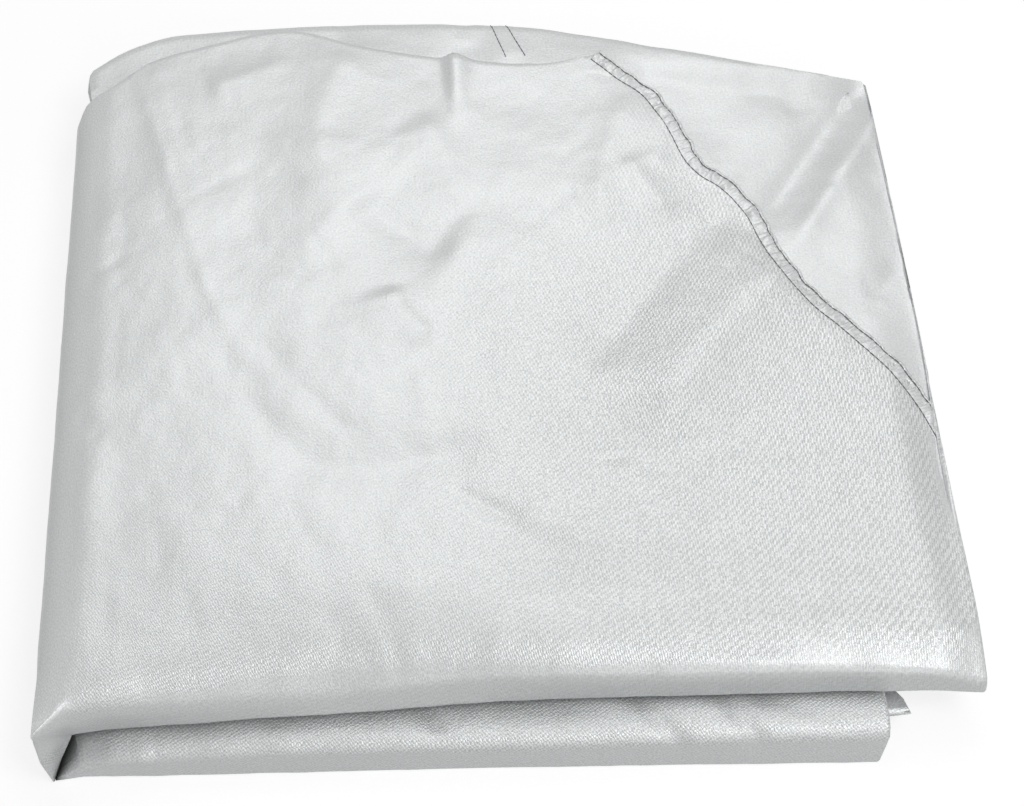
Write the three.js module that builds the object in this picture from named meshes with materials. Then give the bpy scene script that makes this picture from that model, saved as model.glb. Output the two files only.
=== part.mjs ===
// A car roof cover of thin silver cloth, folded up for storage and lying on its back half.
//
// The cover is one sheet. It is folded under at both ends and back again, so that three layers
// lie on each other. The stack is folded once along the front edge, which gives a packet with a
// round front and layers above and below. The packet is then folded in half at the left side, the
// spine, so that the top half lies on the lower half. The sheet's hem crosses the top at the
// back right.
//
// Millimetres. X runs across (the spine is at -X), Y is depth (the front folds are at -Y), Z is up.
// The origin is the middle of the face that rests, and that face lies in the plane Z = 0.

import * as THREE from 'three';

// ---- Driving sizes -------------------------------------------------------------------------

const CLOTH = 1.2; // thickness of the cloth
const HEM_CLOTH = 2.2; // thickness of the turned hem
const HEM_WIDTH = 10; // width of the hem
const LAYER_STEP = 0.4; // share of a half packet's thickness between one layer and the next
const LAYERS = 2; // the innermost layer; the outer layer is 0

const TOP_CROWN = 43.6; // middle of the cloth on the upper face of the top half
const TOP_UNDERSIDE = 22.4; // middle of the cloth on the underside of the top half
const LOW_CROWN = 19.8; // middle of the cloth on the upper face of the lower half
const LOW_BASE = CLOTH / 2; // middle of the cloth on the face that rests

const TOP_RIGHT = 208.4; // right end of the top half
const LOW_RIGHT = 165.4; // right end of the lower half, at its upper face
const LOW_RIGHT_BASE = 161.4; // and at the face that rests
const TONGUE_RIGHT = 177; // the hemmed corner that peeps out of the lower half
const TOP_LEFT = -178; // where the flat faces end and the spine's table begins
const LOW_LEFT = -160;

const END_DROOP = { from: 186, over: 22, by: 4.4 }; // the top half thins towards its right end
const END_LIFT = { from: 140, over: 65, by: 2.6 }; // and its underside rises a little there
const SETBACK = { top: 8, low: 1 }; // each inner layer's front fold lies this far behind the last
const SPINE_CLEAR = { by: 26, over: 30 }; // and further still where it comes near the spine
const THIRD_SHORT = 9; // the top half's innermost layer ends this far short of its right end
const TONGUE_SLANT = { from: -200, over: 45, back: 153 }; // the tongue runs in to x = 153
const CORNER_BLEND = 48; // length over which the spine's section runs into the front corner

// Where the inner layers turn back beside the spine. The top half's reach further left at the back.
const LEFT_TURN = { low: -172, top: -184, topBack: -201, from: 110, over: 60, reach: 1.8 };

// How far the back edges lie in from the tables below.
const BACK_INSET = { lowFace: 3, lowLayer: 6, underside: 16, undersideBulge: 5, third: 9 };
const SPINE_BACK = { from: -206, to: -144, underside: 160 };

// The second layer swells up where no outer layer lies on it, but not at the right end.
const BARE_SWELL = { height: 2.2, clear: 4, over: 25, endsAt: 198, fade: 20 };

// Radius with which the upper face's back edges roll down. They lie flat at the right end.
const ROLL = { soft: 2.5, hem: 0.6, second: 8, third: 1.5, endsAt: TOP_RIGHT - 3, fade: 27 };

const FRONT_LINE = -180; // depth at which a column meets the tables of the front folds
const BACK_LINE = 150; // depth at which it meets the tables of the back edges

// ---- Tables: one row for each place along a fold or an edge --------------------------------

// Front fold of the top half: where the upper face rolls over, and where the underside begins.
const TOP_FRONT = [
  { x: -178, ridge: -175, tuck: -188, lead: 24, heel: 8 },
  { x: -157, ridge: -166, tuck: -186, lead: 32, heel: 9 },
  { x: -92, ridge: -164, tuck: -185, lead: 35, heel: 10 },
  { x: -5, ridge: -170, tuck: -185, lead: 30, heel: 10 },
  { x: 82, ridge: -176, tuck: -186, lead: 24, heel: 10 },
  { x: 148, ridge: -182, tuck: -189, lead: 18, heel: 9 },
  { x: 190, ridge: -190, tuck: -193, lead: 10, heel: 8 },
  { x: 209, ridge: -194, tuck: -195, lead: 6, heel: 5 },
];

// Front fold of the lower half: where the resting face ends, and where the upper face begins.
const LOW_FRONT = [
  { x: -160, ridge: -197, tuck: -191, lead: 10, heel: 16 },
  { x: -56, ridge: -200, tuck: -194, lead: 10, heel: 16 },
  { x: 50, ridge: -204, tuck: -198, lead: 10, heel: 16 },
  { x: 165, ridge: -209, tuck: -202, lead: 10, heel: 16 },
];

// Back edge of the outer layer: a soft edge from the spine, then the hem from x = 72 to the right.
const TOP_BACK = [
  { x: -206, y: 148 },
  { x: -202, y: 158 },
  { x: -186, y: 171 },
  { x: -167, y: 187 },
  { x: -144, y: 194 },
  { x: -99, y: 204 },
  { x: -59, y: 190 },
  { x: -7, y: 177 },
  { x: 30, y: 172 },
  { x: 72, y: 175 },
  { x: 96, y: 151 },
  { x: 108, y: 125 },
  { x: 117, y: 99 },
  { x: 126, y: 92 },
  { x: 140, y: 68 },
  { x: 150, y: 35 },
  { x: 164, y: 10 },
  { x: 182, y: -10 },
  { x: 204, y: -40 },
  { x: 209, y: -54 },
];
const HEM_START = 72;

// Back edge of the second layer, which rolls down behind the outer one.
const SECOND_BACK = [
  { x: -206, y: 174 },
  { x: -199, y: 185 },
  { x: -172, y: 204 },
  { x: -150, y: 210 },
  { x: -96, y: 212 },
  { x: -20, y: 209 },
  { x: 23, y: 204 },
  { x: 66, y: 194 },
  { x: 139, y: 172 },
  { x: 209, y: 153 },
];

// Back edges of the lower half's layers.
const LOW_BACK = [
  { x: -206, y: 150 },
  { x: -186, y: 172 },
  { x: -140, y: 195 },
  { x: 0, y: 197 },
  { x: 100, y: 178 },
  { x: 178, y: 156 },
];

// The spine, from the top half round to the lower half. x, z: section of the outer wall along the
// spine; pivotX, pivotZ: section of the inner wall. front*: the outer wall's corner at the front;
// tuck*: the inner wall's. lead and heel are the fullness of the front fold there. Between 'ear'
// and 'toe' the front fold is a flat triangle, and after 'toe' it dips behind it.
const SPINE = [
  { at: 'shoulder', x: -178, z: 43.6, pivotX: -178, pivotZ: 22.4,
    frontX: -178, frontY: -175, frontZ: 43.6, tuckX: -178, tuckY: -188, tuckZ: 22.4, lead: 24, heel: 8 },
  { at: 'slope', x: -192, z: 43.2, pivotX: -184, pivotZ: 22.4,
    frontX: -193, frontY: -187, frontZ: 43.0, tuckX: -185, tuckY: -189, tuckZ: 22.7, lead: 9, heel: 5 },
  { at: 'ear', x: -205.5, z: 38.5, pivotX: -188.5, pivotZ: 22.4,
    frontX: -207, frontY: -200, frontZ: 42.0, tuckX: -187.5, tuckY: -189.5, tuckZ: 22.8, lead: 0, heel: 0 },
  { at: 'side', x: -209.4, z: 22.0, pivotX: -190.2, pivotZ: 21.1,
    frontX: -207.5, frontY: -201, frontZ: 21.0, tuckX: -188.6, tuckY: -189.8, tuckZ: 21.5, lead: 0, heel: 0 },
  { at: 'toe', x: -206, z: 4.5, pivotX: -188.8, pivotZ: 19.8,
    frontX: -206.5, frontY: -202, frontZ: 1.2, tuckX: -188, tuckY: -188.6, tuckZ: 20.2, lead: 0, heel: 0 },
  { at: 'dip', x: -202, z: 1.4, pivotX: -186.5, pivotZ: 19.8,
    frontX: -203.5, frontY: -201.5, frontZ: 0.6, tuckX: -190, tuckY: -178, tuckZ: 16.5, lead: 0, heel: 0 },
  { at: 'rise', x: -196, z: 0.6, pivotX: -183.5, pivotZ: 19.8,
    frontX: -197, frontY: -200, frontZ: 0.6, tuckX: -186, tuckY: -177, tuckZ: 15.5, lead: 3, heel: 10 },
  { at: 'fill', x: -182, z: 0.6, pivotX: -176, pivotZ: 19.8,
    frontX: -182, frontY: -197, frontZ: 0.6, tuckX: -177, tuckY: -184, tuckZ: 18.6, lead: 8, heel: 16 },
  { at: 'level', x: -160, z: 0.6, pivotX: -160, pivotZ: 19.8,
    frontX: -160, frontY: -197, frontZ: 0.6, tuckX: -160, tuckY: -191, tuckZ: 19.8, lead: 10, heel: 16 },
];
const SPINE_CELLS = [2, 3, 3, 3, 1, 1, 2, 2]; // columns between one row of the spine and the next
const SPINE_EAR = SPINE.findIndex(({ at }) => at === 'ear');
const SPINE_SIDE = SPINE.findIndex(({ at }) => at === 'side');

// Broad swells of the upper face.
const SWELLS = [
  { x: -60, y: -120, height: 1.0, reachX: 110, reachY: 40 },
  { x: -40, y: 60, height: -1.4, reachX: 60, reachY: 70 },
  { x: 60, y: 110, height: 0.9, reachX: 50, reachY: 45 },
  { x: 110, y: -60, height: -0.8, reachX: 70, reachY: 60 },
  { x: -160, y: 40, height: 0.6, reachX: 30, reachY: 90 },
];

// The pointed pleat in the soft back edge.
const PLEAT = { x: -6, foot: 120, height: 2.6, width: 9 };

// ---- Grid: how many strips each stretch of the sheet is divided into ------------------------

const TOP_SHARES = [
  0.08, 0.17, 0.27, 0.38, 0.49, 0.58, 0.66, 0.71, 0.755, // to where the hem starts
  0.795, 0.83, 0.865, 0.9, 0.935, 0.965, 0.985, 1, // along the hem
];
const LOW_SHARES = [0, 0.12, 0.25, 0.38, 0.51, 0.64, 0.76, 0.87, 0.95, 1];
const SECOND_SHARES = [0, 0.14, 0.3, 0.46, 0.6, 0.72, 0.82, 0.9, 0.96, 1];
const THIRD_SHARES = [0, 0.25, 0.5, 0.75, 1];
const TONGUE_SHARES = [0, 0.25, 0.5, 0.72, 0.9, 1];
const TURN_CELLS = 5;
const INNER_TURN_CELLS = 4;
const EDGE_ROWS = [0, 3.2, 7.5, 13]; // distances from the back edge, for its roll
const MARGIN = 40; // width of the strip along the back edge that is divided finely
const MARGIN_CELLS = 3;
const WALL_CELLS = 6;
const FOLD_CELLS = 7;
const UNDER_CELLS = 5;
const UNDER_CROWDING = 1.25; // power that draws the underside's strips towards the fold

// ---- Small helpers -------------------------------------------------------------------------

const lerp = THREE.MathUtils.lerp;

function ease(t) {
  return THREE.MathUtils.smoothstep(t, 0, 1);
}

// One column of a table at x: a smooth curve through its rows that never overshoots them.
function curveAt(rows, key, x) {
  const last = rows.length - 1;
  if (x <= rows[0].x) return rows[0][key];
  if (x >= rows[last].x) return rows[last][key];
  let i = 0;
  while (x > rows[i + 1].x) i += 1;
  const slope = (j) => (rows[j + 1][key] - rows[j][key]) / (rows[j + 1].x - rows[j].x);
  const tangent = (j) => {
    if (j === 0) return slope(0);
    if (j === last) return slope(last - 1);
    const before = slope(j - 1);
    const after = slope(j);
    return before * after <= 0 ? 0 : (2 * before * after) / (before + after);
  };
  const span = rows[i + 1].x - rows[i].x;
  const t = (x - rows[i].x) / span;
  const rest = 1 - t;
  return rows[i][key] * (1 + 2 * t) * rest * rest + span * tangent(i) * t * rest * rest
    + rows[i + 1][key] * t * t * (3 - 2 * t) - span * tangent(i + 1) * t * t * rest;
}

// ---- Heights of the walls ------------------------------------------------------------------

function swellAt(x, y) {
  let sum = 0;
  for (const { x: cx, y: cy, height, reachX, reachY } of SWELLS) {
    sum += height * Math.exp(-(((x - cx) / reachX) ** 2) - (((y - cy) / reachY) ** 2));
  }
  return sum;
}

function pleatAt(x, y) {
  const rise = ease((y - PLEAT.foot) / (curveAt(TOP_BACK, 'y', x) - PLEAT.foot));
  return PLEAT.height * rise * Math.exp(-(((x - PLEAT.x) / PLEAT.width) ** 2));
}

function topCrown(x, y) {
  const droop = END_DROOP.by * ease((x - END_DROOP.from) / END_DROOP.over);
  return TOP_CROWN - droop + swellAt(x, y);
}

function topUnderside(x) {
  return TOP_UNDERSIDE + END_LIFT.by * ease((x - END_LIFT.from) / END_LIFT.over);
}

function bareSwell(x, y, layer) {
  if (x < HEM_START) return 0;
  const beyondHem = y - curveAt(TOP_BACK, 'y', x);
  const along = ease((BARE_SWELL.endsAt - x) / BARE_SWELL.fade);
  const across = ease((beyondHem - BARE_SWELL.clear) / BARE_SWELL.over);
  return BARE_SWELL.height * secondness(layer) * along * across;
}

// 1 on the second layer, falling to 0 on the layers before and after it.
function secondness(layer) {
  return layer * (2 - layer);
}

// Height of a layer's wall. The outer wall is the upper face of the top half and the resting face
// of the lower half; the inner walls face each other between the halves.
function wallHeight(half, wall, x, y, layer) {
  const outer = half === 'top' ? topCrown(x, y) : LOW_BASE;
  const inner = half === 'top' ? topUnderside(x) : LOW_CROWN;
  const middle = (outer + inner) / 2;
  const share = 1 - layer * LAYER_STEP;
  const height = middle + ((wall === 'outer' ? outer : inner) - middle) * share;
  if (half === 'low' || wall === 'inner') return height;
  return height + bareSwell(x, y, layer) + (layer === 0 ? pleatAt(x, y) : 0);
}

// ---- Columns: strips of the sheet that run from the back edge, round the front fold, and back --

function rightEnd(half, wall) {
  if (half === 'top') return TOP_RIGHT;
  return wall === 'outer' ? LOW_RIGHT_BASE : LOW_RIGHT;
}

function leftTurn(half, y) {
  if (half === 'low') return LEFT_TURN.low;
  return lerp(LEFT_TURN.top, LEFT_TURN.topBack, ease((y - LEFT_TURN.from) / LEFT_TURN.over));
}

function backEdge(half, wall, x, layer) {
  if (half === 'low') {
    const face = wall === 'outer' ? BACK_INSET.lowFace : 0;
    return curveAt(LOW_BACK, 'y', x) - face - BACK_INSET.lowLayer * layer;
  }
  const second = curveAt(SECOND_BACK, 'y', x);
  if (wall === 'inner') {
    return second - BACK_INSET.underside + BACK_INSET.undersideBulge * secondness(layer);
  }
  if (layer > 1) return second - BACK_INSET.third * (layer - 1);
  return lerp(curveAt(TOP_BACK, 'y', x), second, ease(layer));
}

// A column of the flat faces. place(y, wall) gives its x.
function packetColumn(half, layer, place) {
  const front = half === 'top' ? TOP_FRONT : LOW_FRONT;
  const frontX = { outer: place(FRONT_LINE, 'outer'), inner: place(FRONT_LINE, 'inner') };
  const backX = place(BACK_LINE, 'outer');
  const fromTurn = frontX.outer - leftTurn(half, FRONT_LINE);
  const corner = layer > 0 ? SPINE_CLEAR.by * ease(1 - fromTurn / SPINE_CLEAR.over) : 0;
  const setback = SETBACK[half] * layer + corner;
  const tuckY = curveAt(front, 'tuck', frontX.inner) + setback;
  const roundness = Math.min(layer, 1);
  const ridgeY = lerp(curveAt(front, 'ridge', frontX.outer) + setback, tuckY, roundness);
  const wall = (side) => (y) => {
    const x = place(y, side);
    return [x, wallHeight(half, side, x, y, layer)];
  };
  const outer = wall('outer');
  const inner = wall('inner');
  const [ridgeX, ridgeZ] = outer(ridgeY);
  const [tuckX, tuckZ] = inner(tuckY);
  const halfGap = Math.abs(ridgeZ - tuckZ) / 2;
  const roundLead = (4 / 3) * halfGap; // gives the Bezier curve a half-circle's depth
  return {
    outer,
    inner,
    ridge: new THREE.Vector3(ridgeX, ridgeY, ridgeZ),
    tuck: new THREE.Vector3(tuckX, tuckY, tuckZ),
    lead: lerp(curveAt(front, 'lead', frontX.outer), roundLead, roundness),
    heel: lerp(curveAt(front, 'heel', frontX.inner), roundLead, roundness),
    outerBack: backEdge(half, 'outer', backX, layer),
    innerBack: backEdge(half, 'inner', place(BACK_LINE, 'inner'), layer),
    margin: curveAt(half === 'top' ? TOP_BACK : LOW_BACK, 'y', backX) - MARGIN,
    roll: rollRadius(half, layer, backX),
    hemmed: half === 'top' && layer === 0 && backX > HEM_START - HEM_WIDTH,
  };
}

function rollRadius(half, layer, x) {
  if (half === 'low') return 0;
  const rolled = ease((ROLL.endsAt - x) / ROLL.fade);
  const outer = x > HEM_START ? ROLL.hem : ROLL.soft;
  if (layer <= 1) return rolled * lerp(outer, ROLL.second, ease(layer));
  return rolled * lerp(ROLL.second, ROLL.third, ease(layer - 1));
}

// A column of the spine; step is the place in its table, counted in rows.
function spineColumn(step) {
  const i = Math.min(Math.floor(step), SPINE.length - 2);
  const t = step - i;
  const straight = (key) => lerp(SPINE[i][key], SPINE[i + 1][key], t);
  const round = (key) => {
    const before = SPINE[Math.max(i - 1, 0)][key];
    const after = SPINE[Math.min(i + 2, SPINE.length - 1)][key];
    const from = SPINE[i][key];
    const to = SPINE[i + 1][key];
    return from + 0.5 * t * (to - before + t * (2 * before - 5 * from + 4 * to - after
      + t * (3 * (from - to) + after - before)));
  };
  const ridge = new THREE.Vector3(straight('frontX'), straight('frontY'), straight('frontZ'));
  const tuck = new THREE.Vector3(straight('tuckX'), straight('tuckY'), straight('tuckZ'));
  const topness = Math.max(1 - step / SPINE_EAR, 0); // 1 at the shoulder, 0 from the ear on
  const wall = (keyX, keyZ, corner, swelling) => {
    const x = round(keyX);
    const z = round(keyZ);
    return (y) => {
      const near = ease(1 - (y - corner.y) / CORNER_BLEND);
      const swell = swelling * (1 - near) * swellAt(x, y);
      return [lerp(x, corner.x, near), Math.max(lerp(z, corner.z, near) + swell, LOW_BASE)];
    };
  };
  const half = step < SPINE_SIDE ? 'top' : 'low';
  const edgeX = THREE.MathUtils.clamp(round('x'), SPINE_BACK.from, SPINE_BACK.to);
  const outerBack = backEdge(half, 'outer', edgeX, 0);
  return {
    outer: wall('x', 'z', ridge, topness),
    inner: wall('pivotX', 'pivotZ', tuck, 0),
    ridge,
    tuck,
    lead: straight('lead'),
    heel: straight('heel'),
    outerBack,
    innerBack: Math.min(backEdge(half, 'inner', edgeX, 0), SPINE_BACK.underside),
    margin: outerBack - MARGIN,
    roll: ROLL.soft * topness,
    hemmed: false,
  };
}

// All columns in their order along the sheet, from the innermost layer of the top half, round the
// spine, to the innermost layer of the lower half.
function sheetColumns() {
  const columns = [];
  const flat = (half, layer, shares, leftOf, rightOf) => {
    for (const share of shares) {
      const place = (y, wall) => lerp(leftOf(y, wall), rightOf(y, wall), share);
      columns.push(packetColumn(half, layer, place));
    }
  };
  const turnRadius = (half) => {
    const outer = wallHeight(half, 'outer', rightEnd(half, 'outer'), 0, 0);
    const next = wallHeight(half, 'outer', rightEnd(half, 'outer'), 0, 1);
    return Math.abs(outer - next) / 2;
  };
  const rightTurn = (half, angles) => {
    const radius = turnRadius(half);
    for (const angle of angles) {
      const place = (y, wall) => rightEnd(half, wall) - radius * (1 - Math.sin(angle));
      columns.push(packetColumn(half, (1 - Math.cos(angle)) / 2, place));
    }
  };
  const innerTurn = (half, angles) => {
    for (const angle of angles) {
      const place = (y) => leftTurn(half, y) - LEFT_TURN.reach * Math.sin(angle);
      columns.push(packetColumn(half, 1 + (1 - Math.cos(angle)) / 2, place));
    }
  };
  const anglesOf = (cells) => (
    Array.from({ length: cells - 1 }, (_, i) => (Math.PI * (i + 1)) / cells)
  );
  const left = (half) => (y) => leftTurn(half, y);
  const right = (half) => (y, wall) => rightEnd(half, wall) - turnRadius(half);
  const reversed = (list) => [...list].reverse();

  flat('top', LAYERS, reversed(THIRD_SHARES), left('top'), () => TOP_RIGHT - THIRD_SHORT);
  innerTurn('top', reversed(anglesOf(INNER_TURN_CELLS)));
  flat('top', 1, SECOND_SHARES, left('top'), right('top'));
  rightTurn('top', reversed(anglesOf(TURN_CELLS)));
  flat('top', 0, reversed(TOP_SHARES), () => TOP_LEFT, right('top'));
  SPINE_CELLS.forEach((cells, row) => {
    for (let cell = 0; cell < cells; cell += 1) columns.push(spineColumn(row + cell / cells));
  });
  flat('low', 0, LOW_SHARES, () => LOW_LEFT, right('low'));
  rightTurn('low', anglesOf(TURN_CELLS));
  flat('low', 1, reversed(SECOND_SHARES), left('low'), right('low'));
  innerTurn('low', anglesOf(INNER_TURN_CELLS));
  const { from, over, back } = TONGUE_SLANT;
  const tongue = (y) => lerp(TONGUE_RIGHT, back, ease((y - from) / over));
  flat('low', LAYERS, TONGUE_SHARES, left('low'), tongue);
  return columns;
}

// ---- The points of one column --------------------------------------------------------------

// Outer wall, from its rolled back edge to the front fold. Each point keeps its distance from the
// edge, which the hem needs.
function outerPoints(column) {
  const { outer, ridge, outerBack, margin, roll } = column;
  const quarter = (roll * Math.PI) / 2;
  const length = outerBack - roll - ridge.y + quarter;
  const toMargin = outerBack - roll - margin + quarter;
  const lastEdge = EDGE_ROWS[EDGE_ROWS.length - 1];
  const distances = [...EDGE_ROWS];
  for (let i = 1; i <= MARGIN_CELLS; i += 1) {
    distances.push(lerp(lastEdge, toMargin, i / MARGIN_CELLS));
  }
  for (let i = 1; i < WALL_CELLS; i += 1) {
    distances.push(lerp(toMargin, length, i / WALL_CELLS));
  }
  return distances.map((distance) => {
    const angle = roll > 0 ? Math.max(Math.PI / 2 - distance / roll, 0) : 0;
    const flatBack = outerBack - roll;
    const y = angle > 0 ? flatBack + roll * Math.sin(angle) : flatBack - (distance - quarter);
    const [x, z] = outer(Math.min(y, flatBack));
    return { point: new THREE.Vector3(x, y, z - roll * (1 - Math.cos(angle))), distance };
  });
}

// Front fold: a full curve that leaves both walls in their own direction.
function foldPoints({ ridge, tuck, lead, heel }) {
  const curve = new THREE.CubicBezierCurve3(
    ridge,
    new THREE.Vector3(ridge.x, ridge.y - lead, ridge.z),
    new THREE.Vector3(tuck.x, tuck.y - heel, tuck.z),
    tuck,
  );
  return curve.getPoints(FOLD_CELLS);
}

function innerPoints({ inner, tuck, innerBack }) {
  const points = [];
  for (let i = 1; i <= UNDER_CELLS; i += 1) {
    const y = lerp(tuck.y, innerBack, (i / UNDER_CELLS) ** UNDER_CROWDING);
    const [x, z] = inner(y);
    points.push(new THREE.Vector3(x, y, z));
  }
  return points;
}

function columnPoints(column) {
  const wall = outerPoints(column);
  const rest = [...foldPoints(column), ...innerPoints(column)];
  return [
    ...wall.map(({ point, distance }) => ({
      point,
      half: column.hemmed && distance < HEM_WIDTH ? HEM_CLOTH / 2 : CLOTH / 2,
    })),
    ...rest.map((point) => ({ point, half: CLOTH / 2 })),
  ];
}

// ---- The cloth as a closed solid -----------------------------------------------------------

function clothGeometry(columns) {
  const grid = columns.map(columnPoints);
  const rows = grid[0].length;
  const at = (c, r) => grid[c][r].point;
  const normals = grid.map((column) => column.map(() => new THREE.Vector3()));
  const cells = [];
  const side = new THREE.Vector3();
  const other = new THREE.Vector3();
  for (let c = 0; c + 1 < grid.length; c += 1) {
    for (let r = 0; r + 1 < rows; r += 1) {
      const corners = [[c, r], [c + 1, r], [c + 1, r + 1], [c, r + 1]];
      side.subVectors(at(c + 1, r + 1), at(c, r));
      other.subVectors(at(c, r + 1), at(c + 1, r));
      const shorterFirst = side.lengthSq() <= other.lengthSq();
      const normal = new THREE.Vector3().crossVectors(side, other).normalize();
      for (const [i, j] of corners) normals[i][j].add(normal);
      const [a, b, d, e] = corners;
      cells.push(...(shorterFirst ? [[a, b, d], [a, d, e]] : [[a, b, e], [b, d, e]]));
    }
  }

  const positions = [];
  for (const sign of [1, -1]) {
    grid.forEach((column, c) => column.forEach(({ point, half }, r) => {
      const normal = normals[c][r].clone().normalize();
      const moved = point.clone().addScaledVector(normal, sign * half);
      positions.push(moved.x, moved.y, Math.max(moved.z, 0));
    }));
  }

  const layerSize = grid.length * rows;
  const face = (c, r) => c * rows + r;
  const back = (c, r) => layerSize + c * rows + r;
  const triangles = [];
  for (const [a, b, d] of cells) {
    triangles.push([face(...a), face(...b), face(...d)], [back(...a), back(...d), back(...b)]);
  }
  const wallBetween = (from, to) => {
    triangles.push([face(...from), back(...from), back(...to)]);
    triangles.push([face(...from), back(...to), face(...to)]);
  };
  const lastColumn = grid.length - 1;
  const lastRow = rows - 1;
  for (let c = 0; c < lastColumn; c += 1) {
    wallBetween([c, 0], [c + 1, 0]);
    wallBetween([c + 1, lastRow], [c, lastRow]);
  }
  for (let r = 0; r < lastRow; r += 1) {
    wallBetween([lastColumn, r], [lastColumn, r + 1]);
    wallBetween([0, r + 1], [0, r]);
  }
  return closedGeometry(positions, triangles);
}

// Makes the geometry with its faces pointing out.
function closedGeometry(positions, triangles) {
  const corner = (i) => new THREE.Vector3().fromArray(positions, 3 * i);
  let volume = 0;
  for (const [a, b, d] of triangles) {
    volume += corner(a).dot(corner(b).cross(corner(d)));
  }
  const ordered = volume > 0 ? triangles : triangles.map(([a, b, d]) => [a, d, b]);
  const geometry = new THREE.BufferGeometry();
  geometry.setAttribute('position', new THREE.Float32BufferAttribute(positions, 3));
  geometry.setIndex(ordered.flat());
  geometry.computeVertexNormals();
  return geometry;
}

// ---- The object ----------------------------------------------------------------------------

function makeCover() {
  const silver = new THREE.MeshStandardMaterial({ color: 0xd8dbdc, roughness: 0.45, metalness: 0.1 });
  const cover = new THREE.Mesh(clothGeometry(sheetColumns()), silver);
  cover.name = 'cover_cloth';
  return cover;
}

const bundle = new THREE.Group();
bundle.add(makeCover());

export default bundle;
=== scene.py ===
"""A car roof cover of thin silver cloth, folded up for storage, as a finished visual model.

The cover is one sheet, folded under at both ends so that three layers lie on each other, folded
once along the front edge, and then folded in half at the left side, the spine. Its hem crosses
the top at the back right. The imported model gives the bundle's box and its place. The tables here
are in millimetres in that same frame, and MM turns them into metres.

X runs across (the spine is at -X), Y is depth (the front folds are at -Y), Z is up.
"""

import math

import bpy
import numpy as np
from bpy.props import FloatProperty, FloatVectorProperty, PointerProperty
from mathutils import Matrix, Vector, noise
from mathutils.bvhtree import BVHTree


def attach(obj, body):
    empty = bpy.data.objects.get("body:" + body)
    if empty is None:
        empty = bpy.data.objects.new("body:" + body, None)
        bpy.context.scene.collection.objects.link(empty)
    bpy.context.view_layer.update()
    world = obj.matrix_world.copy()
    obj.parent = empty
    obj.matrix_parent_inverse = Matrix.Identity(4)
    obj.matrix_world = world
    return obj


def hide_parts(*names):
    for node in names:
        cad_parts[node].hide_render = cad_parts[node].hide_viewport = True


bl_info = {
    "name": "Folded roof cover",
    "version": (1, 0, 0),
    "blender": (4, 5, 0),
    "location": "3D View > Sidebar > Roof cover",
    "description": "Makes a folded car roof cover with its hem, stitching and creases",
    "category": "Object",
}

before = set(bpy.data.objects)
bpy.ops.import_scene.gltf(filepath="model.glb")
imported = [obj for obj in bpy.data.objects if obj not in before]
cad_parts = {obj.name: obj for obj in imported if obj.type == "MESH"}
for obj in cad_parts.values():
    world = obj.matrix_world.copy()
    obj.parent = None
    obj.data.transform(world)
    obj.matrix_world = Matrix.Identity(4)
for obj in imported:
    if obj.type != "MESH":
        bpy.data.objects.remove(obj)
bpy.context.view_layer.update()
CAD_NODE = "cover_cloth"
BODY = "root"
SHEET, HEM, HEM_THREAD, SEAM_THREAD = "cover_sheet", "cover_hem", "hem_thread", "seam_thread"

MM = 0.001


def sizes():
    return bpy.context.scene.roof_cover


def table(columns, *rows):
    """Rows with named columns."""
    names = columns.split()
    return [dict(zip(names, row, strict=True)) for row in rows]


def on_faces(columns, **faces):
    """A table for each face of the sheet."""
    return {face: table(columns, *rows) for face, rows in faces.items()}


# ---- Sizes of the bundle, in millimetres --------

TOP_CROWN = 43.6  # upper face of the top half
TOP_UNDERSIDE = 22.3  # underside of the top half
LOW_CROWN = {"left": 19.4, "right": 20.4, "from": 10, "over": 80}  # upper face of the lower half
LAYER_SHARES = (1.0, 0.72, 0.34)  # share of a half packet's thickness that each layer has

TOP_RIGHT = 208.4
LOW_RIGHT = 165.4
LOW_RIGHT_BASE = 161.4
TONGUE_RIGHT = 177.0
TOP_LEFT = -178.0
LOW_LEFT = -160.0

END_DROOP = {"from": 186, "over": 22, "by": 4.4, "back": 1.4, "y": -55, "until": 60}
END_LIFT = {"from": 140, "over": 65, "by": 2.6}
SETBACK = {"top": 2.4, "low": 1.2}  # of each layer behind the one around it, at the front
SPINE_CLEAR = {"by": 26, "over": 30}
THIRD_SHORT = 9
TONGUE_SLANT = {"from": -200, "over": 45, "back": 153}
CORNER_BLEND = 48
TONGUE = {"from": 150, "over": 14, "rise": 2.0, "share": 0.05, "front": -201}
NIP = {"by": 3.2, "y": -186, "reach": 11}  # the lower half is nipped in under the top half's foot
SINK = {"by": 2.2, "from": -60, "over": 80}  # of the top half's inner layers towards the front
LEFT_TURN = {"low": -172, "top": -184, "top_back": -201, "from": 110, "over": 60, "reach": 1.8}
BACK_INSET = {"low_face": 3, "low_layer": 6, "underside": 16, "bulge": 5, "third": 9}
SPINE_BACK = {"from": -206, "to": -144, "underside": 160}
ROLL = {"soft": 2.5, "second": 8, "second_right": 3, "third": 1.5}  # radii of the back edges
ROLL_FADE = {"ends_at": 205.4, "over": 27, "widens": 120}
FRONT_LINE = -180
BACK_LINE = 150

# ---- Tables of the folds and edges --------

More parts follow.
